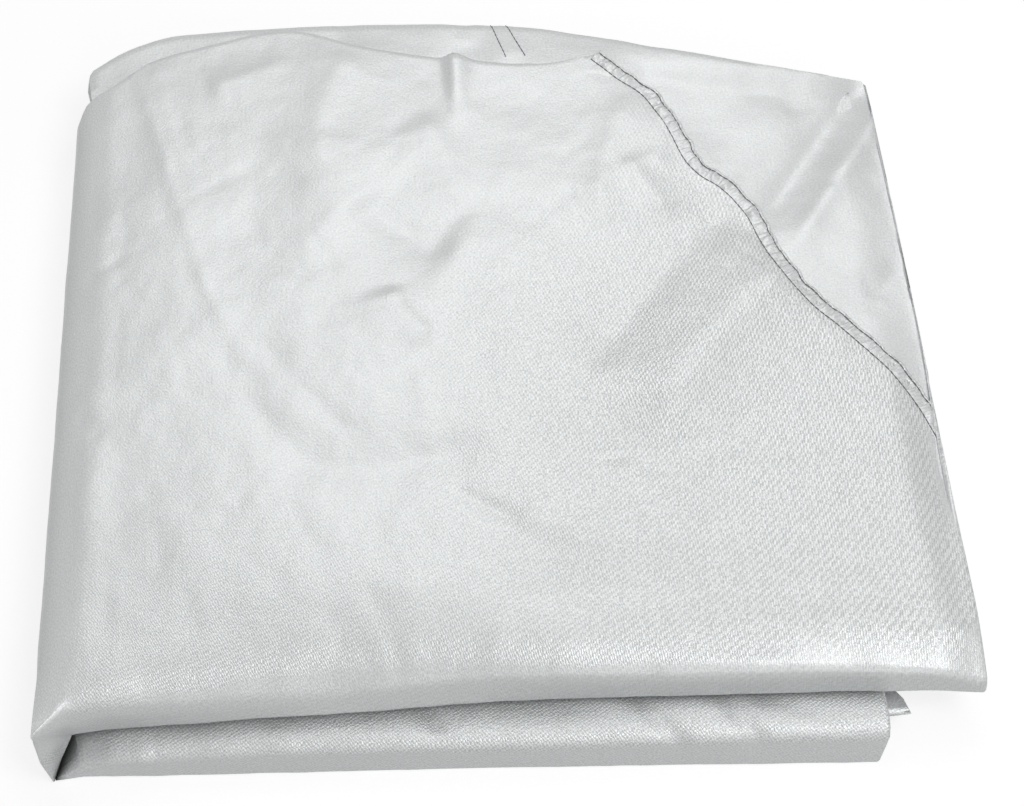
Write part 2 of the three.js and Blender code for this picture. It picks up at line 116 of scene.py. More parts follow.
# Front fold of the top half: where the upper face begins to roll over (ridge) and how steeply it
# falls there (slope), its upper corner (brow), how far behind that the rounding begins (round) and
# how far down it goes (drop), and its lower corner (foot).
TOP_FRONT = table(
    "x ridge slope brow round drop foot",
    (-178, -170, 0.0, -186.6, 30, 11, -188.4),
    (-150, -158, 0.05, -184.0, 30, 11.0, -187.9),
    (-105, -152, 0.10, -180.6, 30, 13.0, -187.6),
    (-68, -150, 0.14, -178.4, 30, 11.0, -187.4),
    (-24, -150, 0.12, -177.8, 26, 8.0, -186.0),
    (19, -154, 0.10, -180.6, 20, 7.0, -186.2),
    (60, -160, 0.18, -183.2, 12, 6.0, -187.6),
    (100, -164, 0.24, -185.0, 7, 5.0, -188.8),
    (140, -168, 0.28, -187.2, 5, 4.0, -190.4),
    (180, -172, 0.31, -190.4, 4, 3.2, -192.8),
    (209, -176, 0.32, -194.2, 4, 3.0, -196.0),
)
FALL_RUN = 20  # the upper face bends down to that slope over this length
TOP_CORNERS = {"brow_rise": 0.3, "foot_drop": 0.6, "foot_round": 1.2, "tuck": 9}

# Front fold of the lower half: its corner on the ground (foot), its upper corner (brow) and that
# one's height.
LOW_FRONT = table(
    "x foot brow brow_z",
    (-160, -202.4, -201.0, 16.2),
    (-118, -203.9, -201.4, 17.5),
    (-92, -205.0, -201.9, 18.2),
    (-56, -206.3, -203.2, 18.7),
    (0, -208.5, -205.0, 19.0),
    (50, -210.8, -206.3, 19.2),
    (107, -213.5, -207.9, 19.3),
    (165, -216.2, -209.9, 19.2),
)
LOW_CORNERS = {"ridge": 7, "foot_round": 1.5, "brow_down": 6, "brow_back": 9, "tuck": 14}
LEAST_WALL = 0.2  # the least height of the lower front fold

# Back edge of the outer layer: a soft edge from the spine, then the hem from HEM_START on.
TOP_BACK = table(
    "x y",
    (-206, 148), (-202, 158), (-186, 171), (-167, 187), (-144, 194), (-99, 204), (-59, 190),
    (-7, 177), (30, 172), (72, 175), (96, 151), (108, 125), (117, 99), (126, 92), (140, 68),
    (150, 35), (164, 10), (182, -10), (204, -40), (209, -54),
)
HEM_START = 72
HEM_COVERS = 5  # the sheet ends this far inside its hem
HEM_BLEND = 8  # the length over which it comes to do so

SECOND_BACK = table(
    "x y",
    (-206, 174), (-199, 185), (-172, 204), (-150, 210), (-96, 212), (-20, 208.2), (23, 202.3),
    (66, 191.2), (139, 168.2), (209, 152.5),
)

LOW_BACK = table(
    "x y",
    (-206, 150), (-186, 172), (-140, 195), (0, 197), (100, 178), (178, 156),
)

# The spine, from the top half round to the lower half. Each column has four points at the front,
# a to d, and the lengths over which it bends at b and c. From the "ear" to the "toe" the cloth is
# drawn into a flat triangle, and right of that is a hollow whose shade is painted dark into the
# cloth.
SPINE = table(
    "at x z pivot_x pivot_z a_x a_y a_z b_x b_y b_z b_in b_out c_x c_y c_z c_in c_out d_x d_y d_z",
    ("shoulder", -178, 43.6, -178, 22.3, -178, -170, 43.6, -178, -186.6, 43.9, 99, 11)
    + (-178, -188.4, 21.7, 1.2, 1.2, -178, -179.4, 22.3),
    ("slope", -192, 43.2, -184, 22.3, -192, -180, 43.4, -193, -190.6, 43.2, 99, 14)
    + (-192, -189.6, 21.8, 1.0, 1.0, -189, -183, 22.3),
    ("ear", -205.5, 38.5, -188.5, 22.3, -206.6, -198.2, 42.4, -207, -200, 41.8, 3, 3)
    + (-194.6, -190.2, 22.3, 0.5, 0.5, -193.9, -189.6, 21.8),
    ("side", -209.4, 22.0, -190.2, 21.1, -206.6, -201.6, 21, -202, -197.4, 21.3, 0.5, 0.5)
    + (-198, -193.5, 21.5, 0.5, 0.5, -193.9, -189.6, 21.6),
    ("toe", -206, 4.5, -188.8, 19.8, -204.8, -202.4, 0.9, -202.6, -198.5, 6, 0.5, 0.5)
    + (-199.7, -195.2, 11.2, 0.5, 0.5, -194.1, -190, 21.2),
    ("hollow", -203, 1.4, -194, 12, -204.5, -201.9, 0.7, -203.0, -197.5, 1.2, 0.5, 0.5)
    + (-201.5, -189.0, 1.6, 1.5, 1.5, -198.5, -168, 2.5),
    ("lip", -200, 0.6, -191, 14, -203.6, -198, 0.6, -203.7, -201.9, 0.6, 0.6, 0.6)
    + (-202.6, -200.6, 1.8, 0.8, 3, -199.5, -178, 2.6),
    ("slant", -190, 0.6, -184, 18, -191.5, -195.5, 0.6, -191.5, -201.0, 0.6, 1.5, 1.5)
    + (-191.0, -201.2, 8.4, 2.5, 9, -194.5, -182, 13.6),
    ("shelf", -176, 0.6, -172, 19.0, -177, -195, 0.6, -177, -201.6, 0.6, 1.5, 1.5)
    + (-177, -201.2, 14.6, 3, 9, -176, -184, 16.2),
    ("level", -160, 0.6, -160, 19.0, -160, -195.4, 0.6, -160, -202.4, 0.6, 1.5, 1.5)
    + (-160, -201.0, 16.2, 3, 9, -160, -186, 16.8),
)
# Painted shade in the hollow: dark to the right of its left end, over a width that grows from the
# toe back.
HOLLOW = {"left": -203.5, "toe": -202, "depth": 12, "at_toe": 2.0, "at_foot": 10}
HOLLOW_ENDS = {"widest": 1.5, "back": 4}  # how far back it widens and goes on, in depths
RESTING_WITHIN = 0.5  # cloth this near to the floor lies flat on it
SPINE_EAR = 2
SPINE_SIDE = 3
SPINE_TOE = 4

# ---- Grid of the sheet --------

EDGE_RUN = 14  # the first stretch from the back edge, in fine rows
EDGE_ROWS = 8
FOLD_STEPS = (1, 9, 3, 9, 2)  # on the run to b, the bend, the wall, the bend at c and the run to d
INNER_SPREAD = 1.6  # the inner wall's rows lie closer together the nearer they are to the tuck

# Rows on the outer wall and on the inner wall, for each kind of column.
ROWS = {
    "shown": {"outer": 138, "inner": 6},
    "second": {"outer": 92, "inner": 7},
    "second_strip": {"outer": 26, "inner": 7},
    "hidden": {"outer": 18, "inner": 6},
    "low": {"outer": 12, "inner": 16},
}
SECOND_SHOWN = 205  # length of the second layer's outer wall that has fine rows, from its edge
SECOND_STRIP = 40  # and where only its back strip shows

TOP_COLUMNS = {"soft": 104, "hemmed": 46}
SECOND_COLUMNS = {"strip": 60, "shown": 54}
LOW_COLUMNS = 100
SPINE_COLUMNS = (6, 7, 6, 6, 2, 3, 5, 6, 6)
TURN_COLUMNS = 7
INNER_TURN_COLUMNS = 4
HIDDEN_COLUMNS = 8
TONGUE_COLUMNS = 16


# ---- Small helpers --------


def lerp(a, b, t):
    return a + (b - a) * t


def ease(t):
    t = min(max(t, 0.0), 1.0)
    return t * t * (3 - 2 * t)


def eased(values):
    """ease() for an array."""
    t = np.clip(values, 0, 1)
    return t * t * (3 - 2 * t)


def curve_at(rows, key, x):
    """One column of a table at x: a smooth curve through its rows that never overshoots them."""
    last = len(rows) - 1
    if x <= rows[0]["x"]:
        return rows[0][key]
    if x >= rows[last]["x"]:
        return rows[last][key]
    i = 0
    while x > rows[i + 1]["x"]:
        i += 1

    def slope(j):
        return (rows[j + 1][key] - rows[j][key]) / (rows[j + 1]["x"] - rows[j]["x"])

    def tangent(j):
        if j == 0:
            return slope(0)
        if j == last:
            return slope(last - 1)
        before, after = slope(j - 1), slope(j)
        return 0 if before * after <= 0 else 2 * before * after / (before + after)

    span = rows[i + 1]["x"] - rows[i]["x"]
    t = (x - rows[i]["x"]) / span
    rest = 1 - t
    return (
        rows[i][key] * (1 + 2 * t) * rest * rest
        + span * tangent(i) * t * rest * rest
        + rows[i + 1][key] * t * t * (3 - 2 * t)
        - span * tangent(i + 1) * t * t * rest
    )


def round_curve(before, start, end, after, t):
    """A curve from start to end that also heeds the points around them."""
    return start + 0.5 * t * (
        end
        - before
        + t * (2 * before - 5 * start + 4 * end - after + t * (3 * (start - end) + after - before))
    )


# ---- Heights of the walls --------


def low_base():
    """Middle of the cloth on the face that rests."""
    return sizes().cloth_thickness / MM / 2


def layer_share(layer):
    low = min(int(layer), len(LAYER_SHARES) - 2)
    return lerp(LAYER_SHARES[low], LAYER_SHARES[low + 1], layer - low)


def end_droop(x, y):
    """How far the upper face hangs down towards the right end. It does so less at the back."""
    size = END_DROOP
    by = lerp(size["by"], size["back"], ease((y - size["y"]) / size["until"]))
    return by * ease((x - size["from"]) / size["over"])


def front_fall(x, y):
    """How far the upper face has fallen where it comes to its front fold."""
    ridge, slope = curve_at(TOP_FRONT, "ridge", x), curve_at(TOP_FRONT, "slope", x)
    run = ridge + FALL_RUN - y
    if run <= 0:
        return 0.0
    return slope * (run * run / (2 * FALL_RUN) if run < FALL_RUN else run - FALL_RUN / 2)


def wall_height(half, wall, x, layer):
    if half == "top":
        outer = TOP_CROWN
        inner = TOP_UNDERSIDE + END_LIFT["by"] * ease((x - END_LIFT["from"]) / END_LIFT["over"])
    else:
        rise = ease((x - LOW_CROWN["from"]) / LOW_CROWN["over"])
        outer, inner = low_base(), lerp(LOW_CROWN["left"], LOW_CROWN["right"], rise)
    middle, share = (outer + inner) / 2, layer_share(layer)
    if half == "low" and layer > 1.5:
        thin = ease((x - TONGUE["from"]) / TONGUE["over"])
        middle, share = middle + TONGUE["rise"] * thin, lerp(share, TONGUE["share"], thin)
    return middle + ((outer if wall == "outer" else inner) - middle) * share


# ---- Columns of the sheet, from the back edge round the front fold to the inner wall --------


def right_end(half, wall):
    if half == "top":
        return TOP_RIGHT
    return LOW_RIGHT_BASE if wall == "outer" else LOW_RIGHT


def left_turn(half, y):
    if half == "low":
        return LEFT_TURN["low"]
    t = ease((y - LEFT_TURN["from"]) / LEFT_TURN["over"])
    return lerp(LEFT_TURN["top"], LEFT_TURN["top_back"], t)


def back_edge(half, wall, x, layer):
    if half == "low":
        face = BACK_INSET["low_face"] if wall == "outer" else 0
        return curve_at(LOW_BACK, "y", x) - face - BACK_INSET["low_layer"] * layer
    second = curve_at(SECOND_BACK, "y", x)
    if wall == "inner":
        return second - BACK_INSET["underside"] + BACK_INSET["bulge"] * layer * (2 - layer)
    if layer > 1:
        return second - BACK_INSET["third"] * (layer - 1)
    hemmed = ease((x - HEM_START + HEM_BLEND / 2) / HEM_BLEND)
    first = curve_at(TOP_BACK, "y", x) - HEM_COVERS * hemmed
    return lerp(first, second, ease(layer))


def roll_radius(half, layer, x):
    """Radius with which the back edge of the upper face rolls down."""
    if half == "low":
        return 0.0
    rolled = ease((ROLL_FADE["ends_at"] - x) / ROLL_FADE["over"])
    outer = ROLL["soft"] * ease((HEM_START - x) / ROLL_FADE["over"])
    widened = ease((HEM_START - x) / ROLL_FADE["widens"])
    second = lerp(ROLL["second_right"], ROLL["second"], widened)
    if layer <= 1:
        return rolled * lerp(outer, second, ease(layer))
    return rolled * lerp(second, ROLL["third"], ease(layer - 1))


def front_corners(half, front_x, outer, inner, setback, layer):
    """The four points of a flat column's front fold, and its two bends as lengths before and
    after the point."""
    upper, lower = front_x["outer"], front_x["inner"]

    def point(y, wall, rise=0.0, z=None):
        x, height = wall(y + setback)
        return Vector((x, y + setback, height + rise if z is None else z))

    if half == "top":
        size, row = TOP_CORNERS, TOP_FRONT
        foot = curve_at(row, "foot", lower)
        corners = (
            point(curve_at(row, "ridge", upper), outer),
            point(curve_at(row, "brow", upper), outer, size["brow_rise"]),
            point(foot, inner, -size["foot_drop"]),
            point(foot + size["tuck"], inner),
        )
        round_foot = size["foot_round"]
        round_brow = curve_at(row, "round", upper), curve_at(row, "drop", upper)
        return corners, (round_brow, (round_foot, round_foot))
    size, row = LOW_CORNERS, LOW_FRONT
    foot, brow = curve_at(row, "foot", upper), curve_at(row, "brow", lower)
    if layer > 1.5:
        foot = brow = TONGUE["front"]
    crown = inner(brow)[1]
    drop = wall_height("low", "inner", lower, 0) - curve_at(row, "brow_z", lower)
    drop = 0 if layer > 1.5 else drop
    corners = (
        point(foot + size["ridge"], outer),
        point(foot, outer),
        point(brow, inner, z=max(crown - drop, outer(foot)[1] + LEAST_WALL)),
        point(brow + size["tuck"], inner),
    )
    round_foot = size["foot_round"]
    return corners, ((round_foot, round_foot), (size["brow_down"], size["brow_back"]))


def packet_column(half, layer, kind, place):
    """A column of the flat faces. place(y, wall) gives its x."""
    front_x = {wall: place(FRONT_LINE, wall) for wall in ("outer", "inner")}
    back_x = {wall: place(BACK_LINE, wall) for wall in ("outer", "inner")}
    from_turn = front_x["outer"] - left_turn(half, FRONT_LINE)
    corner = SPINE_CLEAR["by"] * ease(1 - from_turn / SPINE_CLEAR["over"]) if layer > 0 else 0
    setback = SETBACK[half] * layer + corner

    def wall(side):
        sink = SINK["by"] * min(layer, 1) if half == "top" and side == "outer" else 0

        def at(y):
            x = place(y, side)
            height = wall_height(half, side, x, layer)
            height -= sink * ease((SINK["from"] - y) / SINK["over"])
            if half == "top" and side == "outer":
                height -= (end_droop(x, y) + front_fall(x, y)) * (1 + layer_share(layer)) / 2
            elif half == "low" and side == "inner":
                height -= NIP["by"] * math.exp(-(((y - NIP["y"]) / NIP["reach"]) ** 2))
            return x, height

        return at

    outer, inner = wall("outer"), wall("inner")
    corners, bends = front_corners(half, front_x, outer, inner, setback, layer)
    return {
        "half": half,
        "layer": layer,
        "kind": kind,
        "outer": outer,
        "inner": inner,
        "corners": corners,
        "bends": bends,
        "outer_back": back_edge(half, "outer", back_x["outer"], layer),
        "inner_back": back_edge(half, "inner", back_x["inner"], layer),
        "roll": roll_radius(half, layer, back_x["outer"]),
    }


def spine_column(step):
    """A column of the spine. step is the place in its table, counted in rows."""
    i = min(int(step), len(SPINE) - 2)
    t = step - i
    rows = [SPINE[max(i - 1, 0)], SPINE[i], SPINE[i + 1], SPINE[min(i + 2, len(SPINE) - 1)]]

    def straight(key):
        return lerp(rows[1][key], rows[2][key], t)

    def bent(key):
        return round_curve(*(row[key] for row in rows), t)

    corners = tuple(Vector([straight(f"{at}_{axis}") for axis in "xyz"]) for at in "abcd")

    def wall(x, z, corner):
        def at(y):
            near = ease(1 - (y - corner.y) / CORNER_BLEND)
            return lerp(x, corner.x, near), max(lerp(z, corner.z, near), low_base())

        return at

    half = "top" if step < SPINE_SIDE else "low"
    edge_x = min(max(bent("x"), SPINE_BACK["from"]), SPINE_BACK["to"])
    return {
        "half": half,
        "layer": 0,
        "step": step,
        "kind": "shown" if step <= SPINE_TOE else "low",
        "outer": wall(bent("x"), bent("z"), corners[0]),
        "inner": wall(bent("pivot_x"), bent("pivot_z"), corners[3]),
        "corners": corners,
        "bends": ((straight("b_in"), straight("b_out")), (straight("c_in"), straight("c_out"))),
        "outer_back": back_edge(half, "outer", edge_x, 0),
        "inner_back": min(back_edge(half, "inner", edge_x, 0), SPINE_BACK["underside"]),
        "roll": ROLL["soft"] * max(1 - step / SPINE_EAR, 0),
    }


def shares(cells, ends=True):
    """Even shares from 0 to 1, with or without both ends."""
    every = [i / cells for i in range(cells + 1)]
    return every if ends else every[1:-1]


def sheet_columns():
    """All columns in their order along the sheet, from the innermost layer of the top half, round
    the spine, to the innermost layer of the lower half."""
    columns = []

    def flat(half, layer, kind, parts, left_of, right_of):
        for share in parts:
            def place(y, wall, share=share):
                return lerp(left_of(y, wall), right_of(y, wall), share)

            columns.append(packet_column(half, layer, kind, place))

    def turn_radius(half):
        end = right_end(half, "outer")
        return abs(wall_height(half, "outer", end, 0) - wall_height(half, "outer", end, 1)) / 2

    def right_turn(half, kinds, parts):
        radius = turn_radius(half)
        for share in parts:
            angle = math.pi * share
            layer = (1 - math.cos(angle)) / 2

            def place(y, wall, angle=angle):
                return right_end(half, wall) - radius * (1 - math.sin(angle))

            columns.append(packet_column(half, layer, kinds[int(layer > 0.5)], place))

    def inner_turn(half, kind, parts):
        for share in parts:
            angle = math.pi * share

            def place(y, wall, angle=angle):
                return left_turn(half, y) - LEFT_TURN["reach"] * math.sin(angle)

            columns.append(packet_column(half, 1 + (1 - math.cos(angle)) / 2, kind, place))

    def left(half):
        return lambda y, wall: left_turn(half, y)

    def right(half):
        return lambda y, wall: right_end(half, wall) - turn_radius(half)

    def at(x):
        return lambda y, wall: x

    hidden = shares(HIDDEN_COLUMNS)
    turn = shares(TURN_COLUMNS, ends=False)
    inner = shares(INNER_TURN_COLUMNS, ends=False)
    flat("top", 2, "hidden", hidden[::-1], left("top"), at(TOP_RIGHT - THIRD_SHORT))
    inner_turn("top", "hidden", inner[::-1])
    strip = shares(SECOND_COLUMNS["strip"])[:-1]
    flat("top", 1, "second_strip", strip, left("top"), at(HEM_START))
    flat("top", 1, "second", shares(SECOND_COLUMNS["shown"]), at(HEM_START), right("top"))
    right_turn("top", ("shown", "second"), turn[::-1])
    flat("top", 0, "shown", shares(TOP_COLUMNS["hemmed"])[::-1], at(HEM_START), right("top"))
    flat("top", 0, "shown", shares(TOP_COLUMNS["soft"])[1:-1][::-1], at(TOP_LEFT), at(HEM_START))
    for row, cells in enumerate(SPINE_COLUMNS):
        columns.extend(spine_column(row + cell / cells) for cell in range(cells))
    flat("low", 0, "low", shares(LOW_COLUMNS), at(LOW_LEFT), right("low"))
    right_turn("low", ("low", "hidden"), turn)
    flat("low", 1, "hidden", hidden[::-1], left("low"), right("low"))
    inner_turn("low", "hidden", inner)

    def tongue(y, wall):
        slant = ease((y - TONGUE_SLANT["from"]) / TONGUE_SLANT["over"])
        return lerp(TONGUE_RIGHT, TONGUE_SLANT["back"], slant)

    flat("low", 2, "hidden", shares(TONGUE_COLUMNS), left("low"), tongue)
    return columns


# ---- Points of one column --------


def outer_distances(column, length):
    """Distances of a column's rows from its back edge, for its outer wall."""
    count = ROWS[column["kind"]]["outer"]
    edge = [EDGE_RUN * i / EDGE_ROWS for i in range(EDGE_ROWS)]
    rest = count - EDGE_ROWS
    if column["kind"] in ("second", "second_strip"):
        shown = SECOND_SHOWN if column["kind"] == "second" else SECOND_STRIP
        fine = rest - ROWS["hidden"]["inner"]
        shown = min(shown, length - EDGE_RUN)
        edge += [EDGE_RUN + (shown - EDGE_RUN) * i / fine for i in range(fine)]
        coarse = rest - fine
        return edge + [lerp(shown, length, i / coarse) for i in range(coarse)]
    return edge + [lerp(EDGE_RUN, length, i / rest) for i in range(rest)]


def fold_points(corners, bends):
    """The front fold of a column: straight runs between its four points, bent round b and c."""
    a, b, c, d = corners
    (b_in, b_out), (c_in, c_out) = bends
    before, wall, after = (b - a).length, (c - b).length, (d - c).length
    b_in, c_out = min(b_in, before), min(c_out, after)
    tight = min(wall / max(b_out + c_in, 1e-6), 1)
    b_start, b_end = b.lerp(a, b_in / before), b.lerp(c, b_out * tight / wall)
    c_start, c_end = c.lerp(b, c_in * tight / wall), c.lerp(d, c_out / after)
    to_b, round_b, on_wall, round_c, to_d = FOLD_STEPS
    points = [a]
    points += [a.lerp(b_start, i / to_b) for i in range(1, to_b + 1)]
    points += [bend(b_start, b, b_end, i / round_b) for i in range(1, round_b + 1)]
    points += [b_end.lerp(c_start, i / on_wall) for i in range(1, on_wall + 1)]
    points += [bend(c_start, c, c_end, i / round_c) for i in range(1, round_c + 1)]
    points += [c_end.lerp(d, i / to_d) for i in range(1, to_d + 1)]
    return points


def bend(start, corner, end, t):
    return start.lerp(corner, t).lerp(corner.lerp(end, t), t)


def column_runs(column):
    """The column's points in three runs: outer wall, front fold and inner wall. Each point is
    (x, y, z, v), where v is its place along the column and is y on the flat outer wall."""
    outer, ridge, roll = column["outer"], column["corners"][0], column["roll"]
    flat_back = column["outer_back"] - roll
    quarter = roll * math.pi / 2
    walls = []
    for distance in outer_distances(column, flat_back - ridge.y + quarter):
        angle = max(math.pi / 2 - distance / roll, 0) if roll > 0 else 0
        y = flat_back + (roll * math.sin(angle) if angle > 0 else quarter - distance)
        x, z = outer(min(y, flat_back))
        walls.append((x, y, z - roll * (1 - math.cos(angle)), flat_back + quarter - distance))

    tuck = column["corners"][3]
    fold = []
    v, last = ridge.y, ridge
    for point in fold_points(column["corners"], column["bends"]):
        v -= (point - last).length
        last = point
        fold.append((*point, v))

    inner = []
    count = ROWS[column["kind"]]["inner"]
    for i in range(1, count + 1):
        y = lerp(tuck.y, column["inner_back"], (i / count) ** INNER_SPREAD)
        x, z = column["inner"](y)
        inner.append((x, y, z, v - (y - tuck.y)))
    return walls, fold, inner


# ---- Relief: swells, creases and the fine unevenness of thin cloth --------
#
# x and y are plan coordinates on the flat faces. On a fold, y goes on as the length along the
# cloth. left and right are a crease's widths on the two sides of its line, seen from its start.

SWELLS = on_faces(
    "x y reach_x reach_y height",
    top=[
        (-60, -120, 110, 40, 1.0), (-75, 95, 26, 36, 1.4), (-112, 75, 14, 40, -0.8),
        (-160, 40, 26, 80, 0.8), (30, 140, 26, 22, -1.0), (25, 0, 30, 60, 0.8),
        (209, -90, 13, 40, -2.6), (-188, -90, 9, 34, 0.9), (-180, 130, 14, 40, -0.7),
    ],
    second=[
        (128, 168, 55, 18, 3.0), (150, 120, 14, 16, 0.8), (118, 122, 12, 20, -0.8),
        (190, 60, 14, 34, 0.8),
    ],
    low=[
        (-60, -245, 60, 12, 0.5), (90, -243, 50, 12, 0.6),
    ],
)

CREASES = on_faces(
    "x0 y0 x1 y1 x2 y2 left right height",
    top=[
        # broad folds of the upper face
        (-64, 86, -40, 64, -12, 46, 20, 16, -2.4), (-58, 190, -78, 150, -78, 100, 12, 16, 1.5),
        (-142, 164, -119, 171, -92, 186, 7, 13, 1.05),
        (-168, 188, -161, 150, -148, 108, 9, 17, 0.9), (-48, 30, -40, 12, -26, -6, 4, 16, 1.8),
        (-134, 8, -112, -38, -88, -64, 8, 20, -0.9), (-114, 8, -92, -26, -58, -66, 8, 5, -0.6),
        (-104, -58, -58, -74, 6, -58, 16, 20, -2.4), (60, 48, 65, 104, 88, 150, 9, 16, 1.9),
        (76, 104, 84, 84, 96, 60, 12, 6, 1.95), (92, 92, 95, 114, 104, 134, 8, 5, 1.2),
        (140, 76, 92, 32, 36, -40, 16, 24, -3.8), (160, 30, 112, -8, 68, -72, 20, 26, 6.4),
        (-30, 140, -16, 110, -10, 70, 8, 16, 1.35),
        # the front fold's ridge and the hollow behind it
        (-130, -164, 60, -167, 206, -182, 12, 12, 1.0),
        (-20, -145, 90, -146, 206, -154, 15, 14, -1.5),
        (-196, -168, -160, -166, -108, -160, 12, 12, 0.8),
        # the pull at the corner of the right end
        (150, -184, 180, -176, 208, -166, 4, 14, 1.2),
        # the seam that shows through at the left
        (-178, 184, -157, 104, -130, 10, 2, 2.5, 0.4), (-141, 54, -134, 26, -122, -2, 4, 3, 0.4),
        (-161, 163, -149, 128, -137, 97, 2.5, 2.5, -0.25),
        # creases at the middle of the front
        (30, -76, 78, -73, 120, -60, 7, 4, -1.28), (8, -98, 40, -111, 112, -88, 5, 9, 1.28),
        (58, -80, 84, -85, 118, -88, 4, 4, -0.8), (-24, -86, -8, -97, 10, -108, 3, 4, -1.12),
        (20, -116, 60, -122, 100, -112, 10, 12, 1.12),
        # finer creases
        (-92, 9, -66, 13, -45, 21, 3, 4, -0.3), (-46, 22, -42, 14, -34, 4, 3, 3, -0.3),
        (-4, 40, 6, 46, 18, 56, 3, 3, -0.31), (18, 55, 34, 71, 50, 86, 3, 3, -0.47),
        (42, 100, 52, 112, 64, 122, 3, 3, -0.27), (-1, 88, 5, 80, 11, 73, 3, 3, -0.27),
        (-54, 90, -44, 110, -38, 124, 3, 4, -0.39), (-166, 70, -138, 95, -108, 112, 3, 4, -0.26),
        (-108, 108, -98, 100, -86, 96, 4, 4, -0.39), (-118, 58, -98, 46, -84, 32, 4, 4, -0.39),
        (-84, 62, -78, 50, -74, 40, 4, 4, -0.31), (-183, 87, -172, 80, -158, 79, 3, 3, 0.24),
        (-184, 82, -179, 74, -178, 60, 3, 3, -0.3), (-198, 40, -188, 48, -176, 55, 3, 3, -0.47),
        (-198, -38, -190, -44, -182, -52, 3, 5, -0.47),
        (-36, -22, -33, -36, -35, -50, 2.5, 3, 0.39),
        (-120, -18, -113, -22, -106, -30, 3, 3, -0.31),
        (-14, -94, 0, -106, 14, -118, 2.5, 2.5, -0.31),
        (98, -74, 118, -84, 142, -92, 6, 5, -0.31),
        (-64, -132, -54, -155, -46, -182, 3, 3, -0.39),
        (-86, -148, -70, -160, -58, -182, 4, 3, -0.39),
        (-13, -180, -7, -168, -1, -156, 3, 3, 0.39), (106, -23, 120, -19, 134, -18, 3, 3, -0.39),
        (130, -12, 146, -10, 160, -6, 3, 3, -0.39), (162, -50, 168, -60, 172, -70, 4, 4, -0.39),
        (-157, -96, -155, -111, -153, -127, 3, 3, -0.31),
        (-165, -78, -161, -83, -157, -89, 3, 3, -0.31),
        (-130, -97, -122, -93, -114, -87, 3, 3, -0.31),
        (-146, -130, -141, -144, -138, -160, 3, 3, -0.31),
        (-96, -90, -90, -104, -80, -124, 4, 4, -0.27), (126, 40, 133, 33, 139, 25, 3, 3, -0.39),
        (98, 24, 110, 12, 124, 4, 4, 4, -0.31), (-178, -132, -177, -144, -176, -156, 3, 3, -0.31),
        (-140, 60, -120, 66, -104, 60, 5, 5, -0.27),
        (-168, -20, -156, -34, -140, -44, 5, 5, -0.27),
    ],
    second=[
        # the part of the second layer that shows
        (70, 166, 130, 150, 200, 136, 10, 14, -1.4), (222, 140, 190, 94, 150, 34, 10, 9, 3.4),
        (216, 164, 178, 112, 132, 46, 20, 11, -4.2), (176, 79, 190, 84, 208, 81, 3, 3, -0.6),
        (186, -4, 189, 12, 187, 28, 3, 3, -0.5), (190, 6, 199, 20, 209, 27, 5, 5, -1.0),
        (130, 89, 141, 93, 154, 101, 3, 3, -0.5), (160, 132, 178, 136, 198, 144, 4, 4, -0.5),
        (-6, 172, 45, 166, 92, 154, 22, 6, 2.4), (-74, 188, -40, 180, -10, 173, 20, 6, 2.0),
        (16, 214, 20, 192, 25, 172, 5, 5, 0.7), (8, 212, 4, 200, -4, 186, 4, 6, 0.8),
    ],
    low=[
        # the lower half's front
        (-150, -262, -60, -256, 30, -258, 8, 8, -1), (20, -252, 60, -244, 110, -250, 6, 5, 1.2),
        (96, -256, 120, -246, 150, -240, 5, 5, -1), (-120, -244, -100, -252, -84, -262, 4, 4, -1),
        (46, -262, 60, -241, 78, -219, 3, 4, -2.2), (86, -264, 98, -243, 112, -220, 4, 3, -2.2),
        (-52, -262, -41, -245, -30, -224, 3, 3, -2.0),
    ],
)
CREASE_STEPS = 12
CREASE_FADE = 0.22  # share of a crease's length over which it fades out at each end
CREASE_CORE = 1.3  # how round a narrow crease is at its line
CREASE_ROUND = {"share": 0.35, "less": 2}  # how round a broad fold is, for its width
CREASE_REACH = 4  # how far a crease is felt, in its widths

PLEAT = {"x": -9, "foot": 122, "height": 3.6, "left": 4, "right": 8}
HEM_DROOP = {"over": 18, "by": 1.0, "widens": 10}  # the upper face sinks towards its hem

# Small crosswise crinkles on the loose corner that peeps out of the lower half.
CRINKLE = {"pitch": 3.1, "height": 0.28, "slant": 0.15, "slant_from": 165}
CRINKLE_PLACE = {"x": 163, "x_over": 3, "y": -176, "y_over": 4, "z": (5, 16)}

# Waves and dents: their reach, their place in the noise, and how high they are beside the
# settings' wave height and dent height.
WAVES = table(
    "reach_x reach_y level wave dent",
    (42, 34, 0, 1, 0),
    (17, 21, 3, 0.5, 0),
    (6.5, 8, 7, 0, 1),
)
FACE_SHIFT = 10.0  # from one face's place in the noise to the next one's

FACES = ("top", "second", "low", "inside")


def crease_points(row):
    """A smooth line through the row's three points."""
    start, middle, end = (np.array([row[f"x{i}"], row[f"y{i}"]], float) for i in range(3))
    handle = 2 * middle - (start + end) / 2
    t = np.linspace(0, 1, CREASE_STEPS + 1)[:, None]
    return (1 - t) ** 2 * start + 2 * t * (1 - t) * handle + t**2 * end


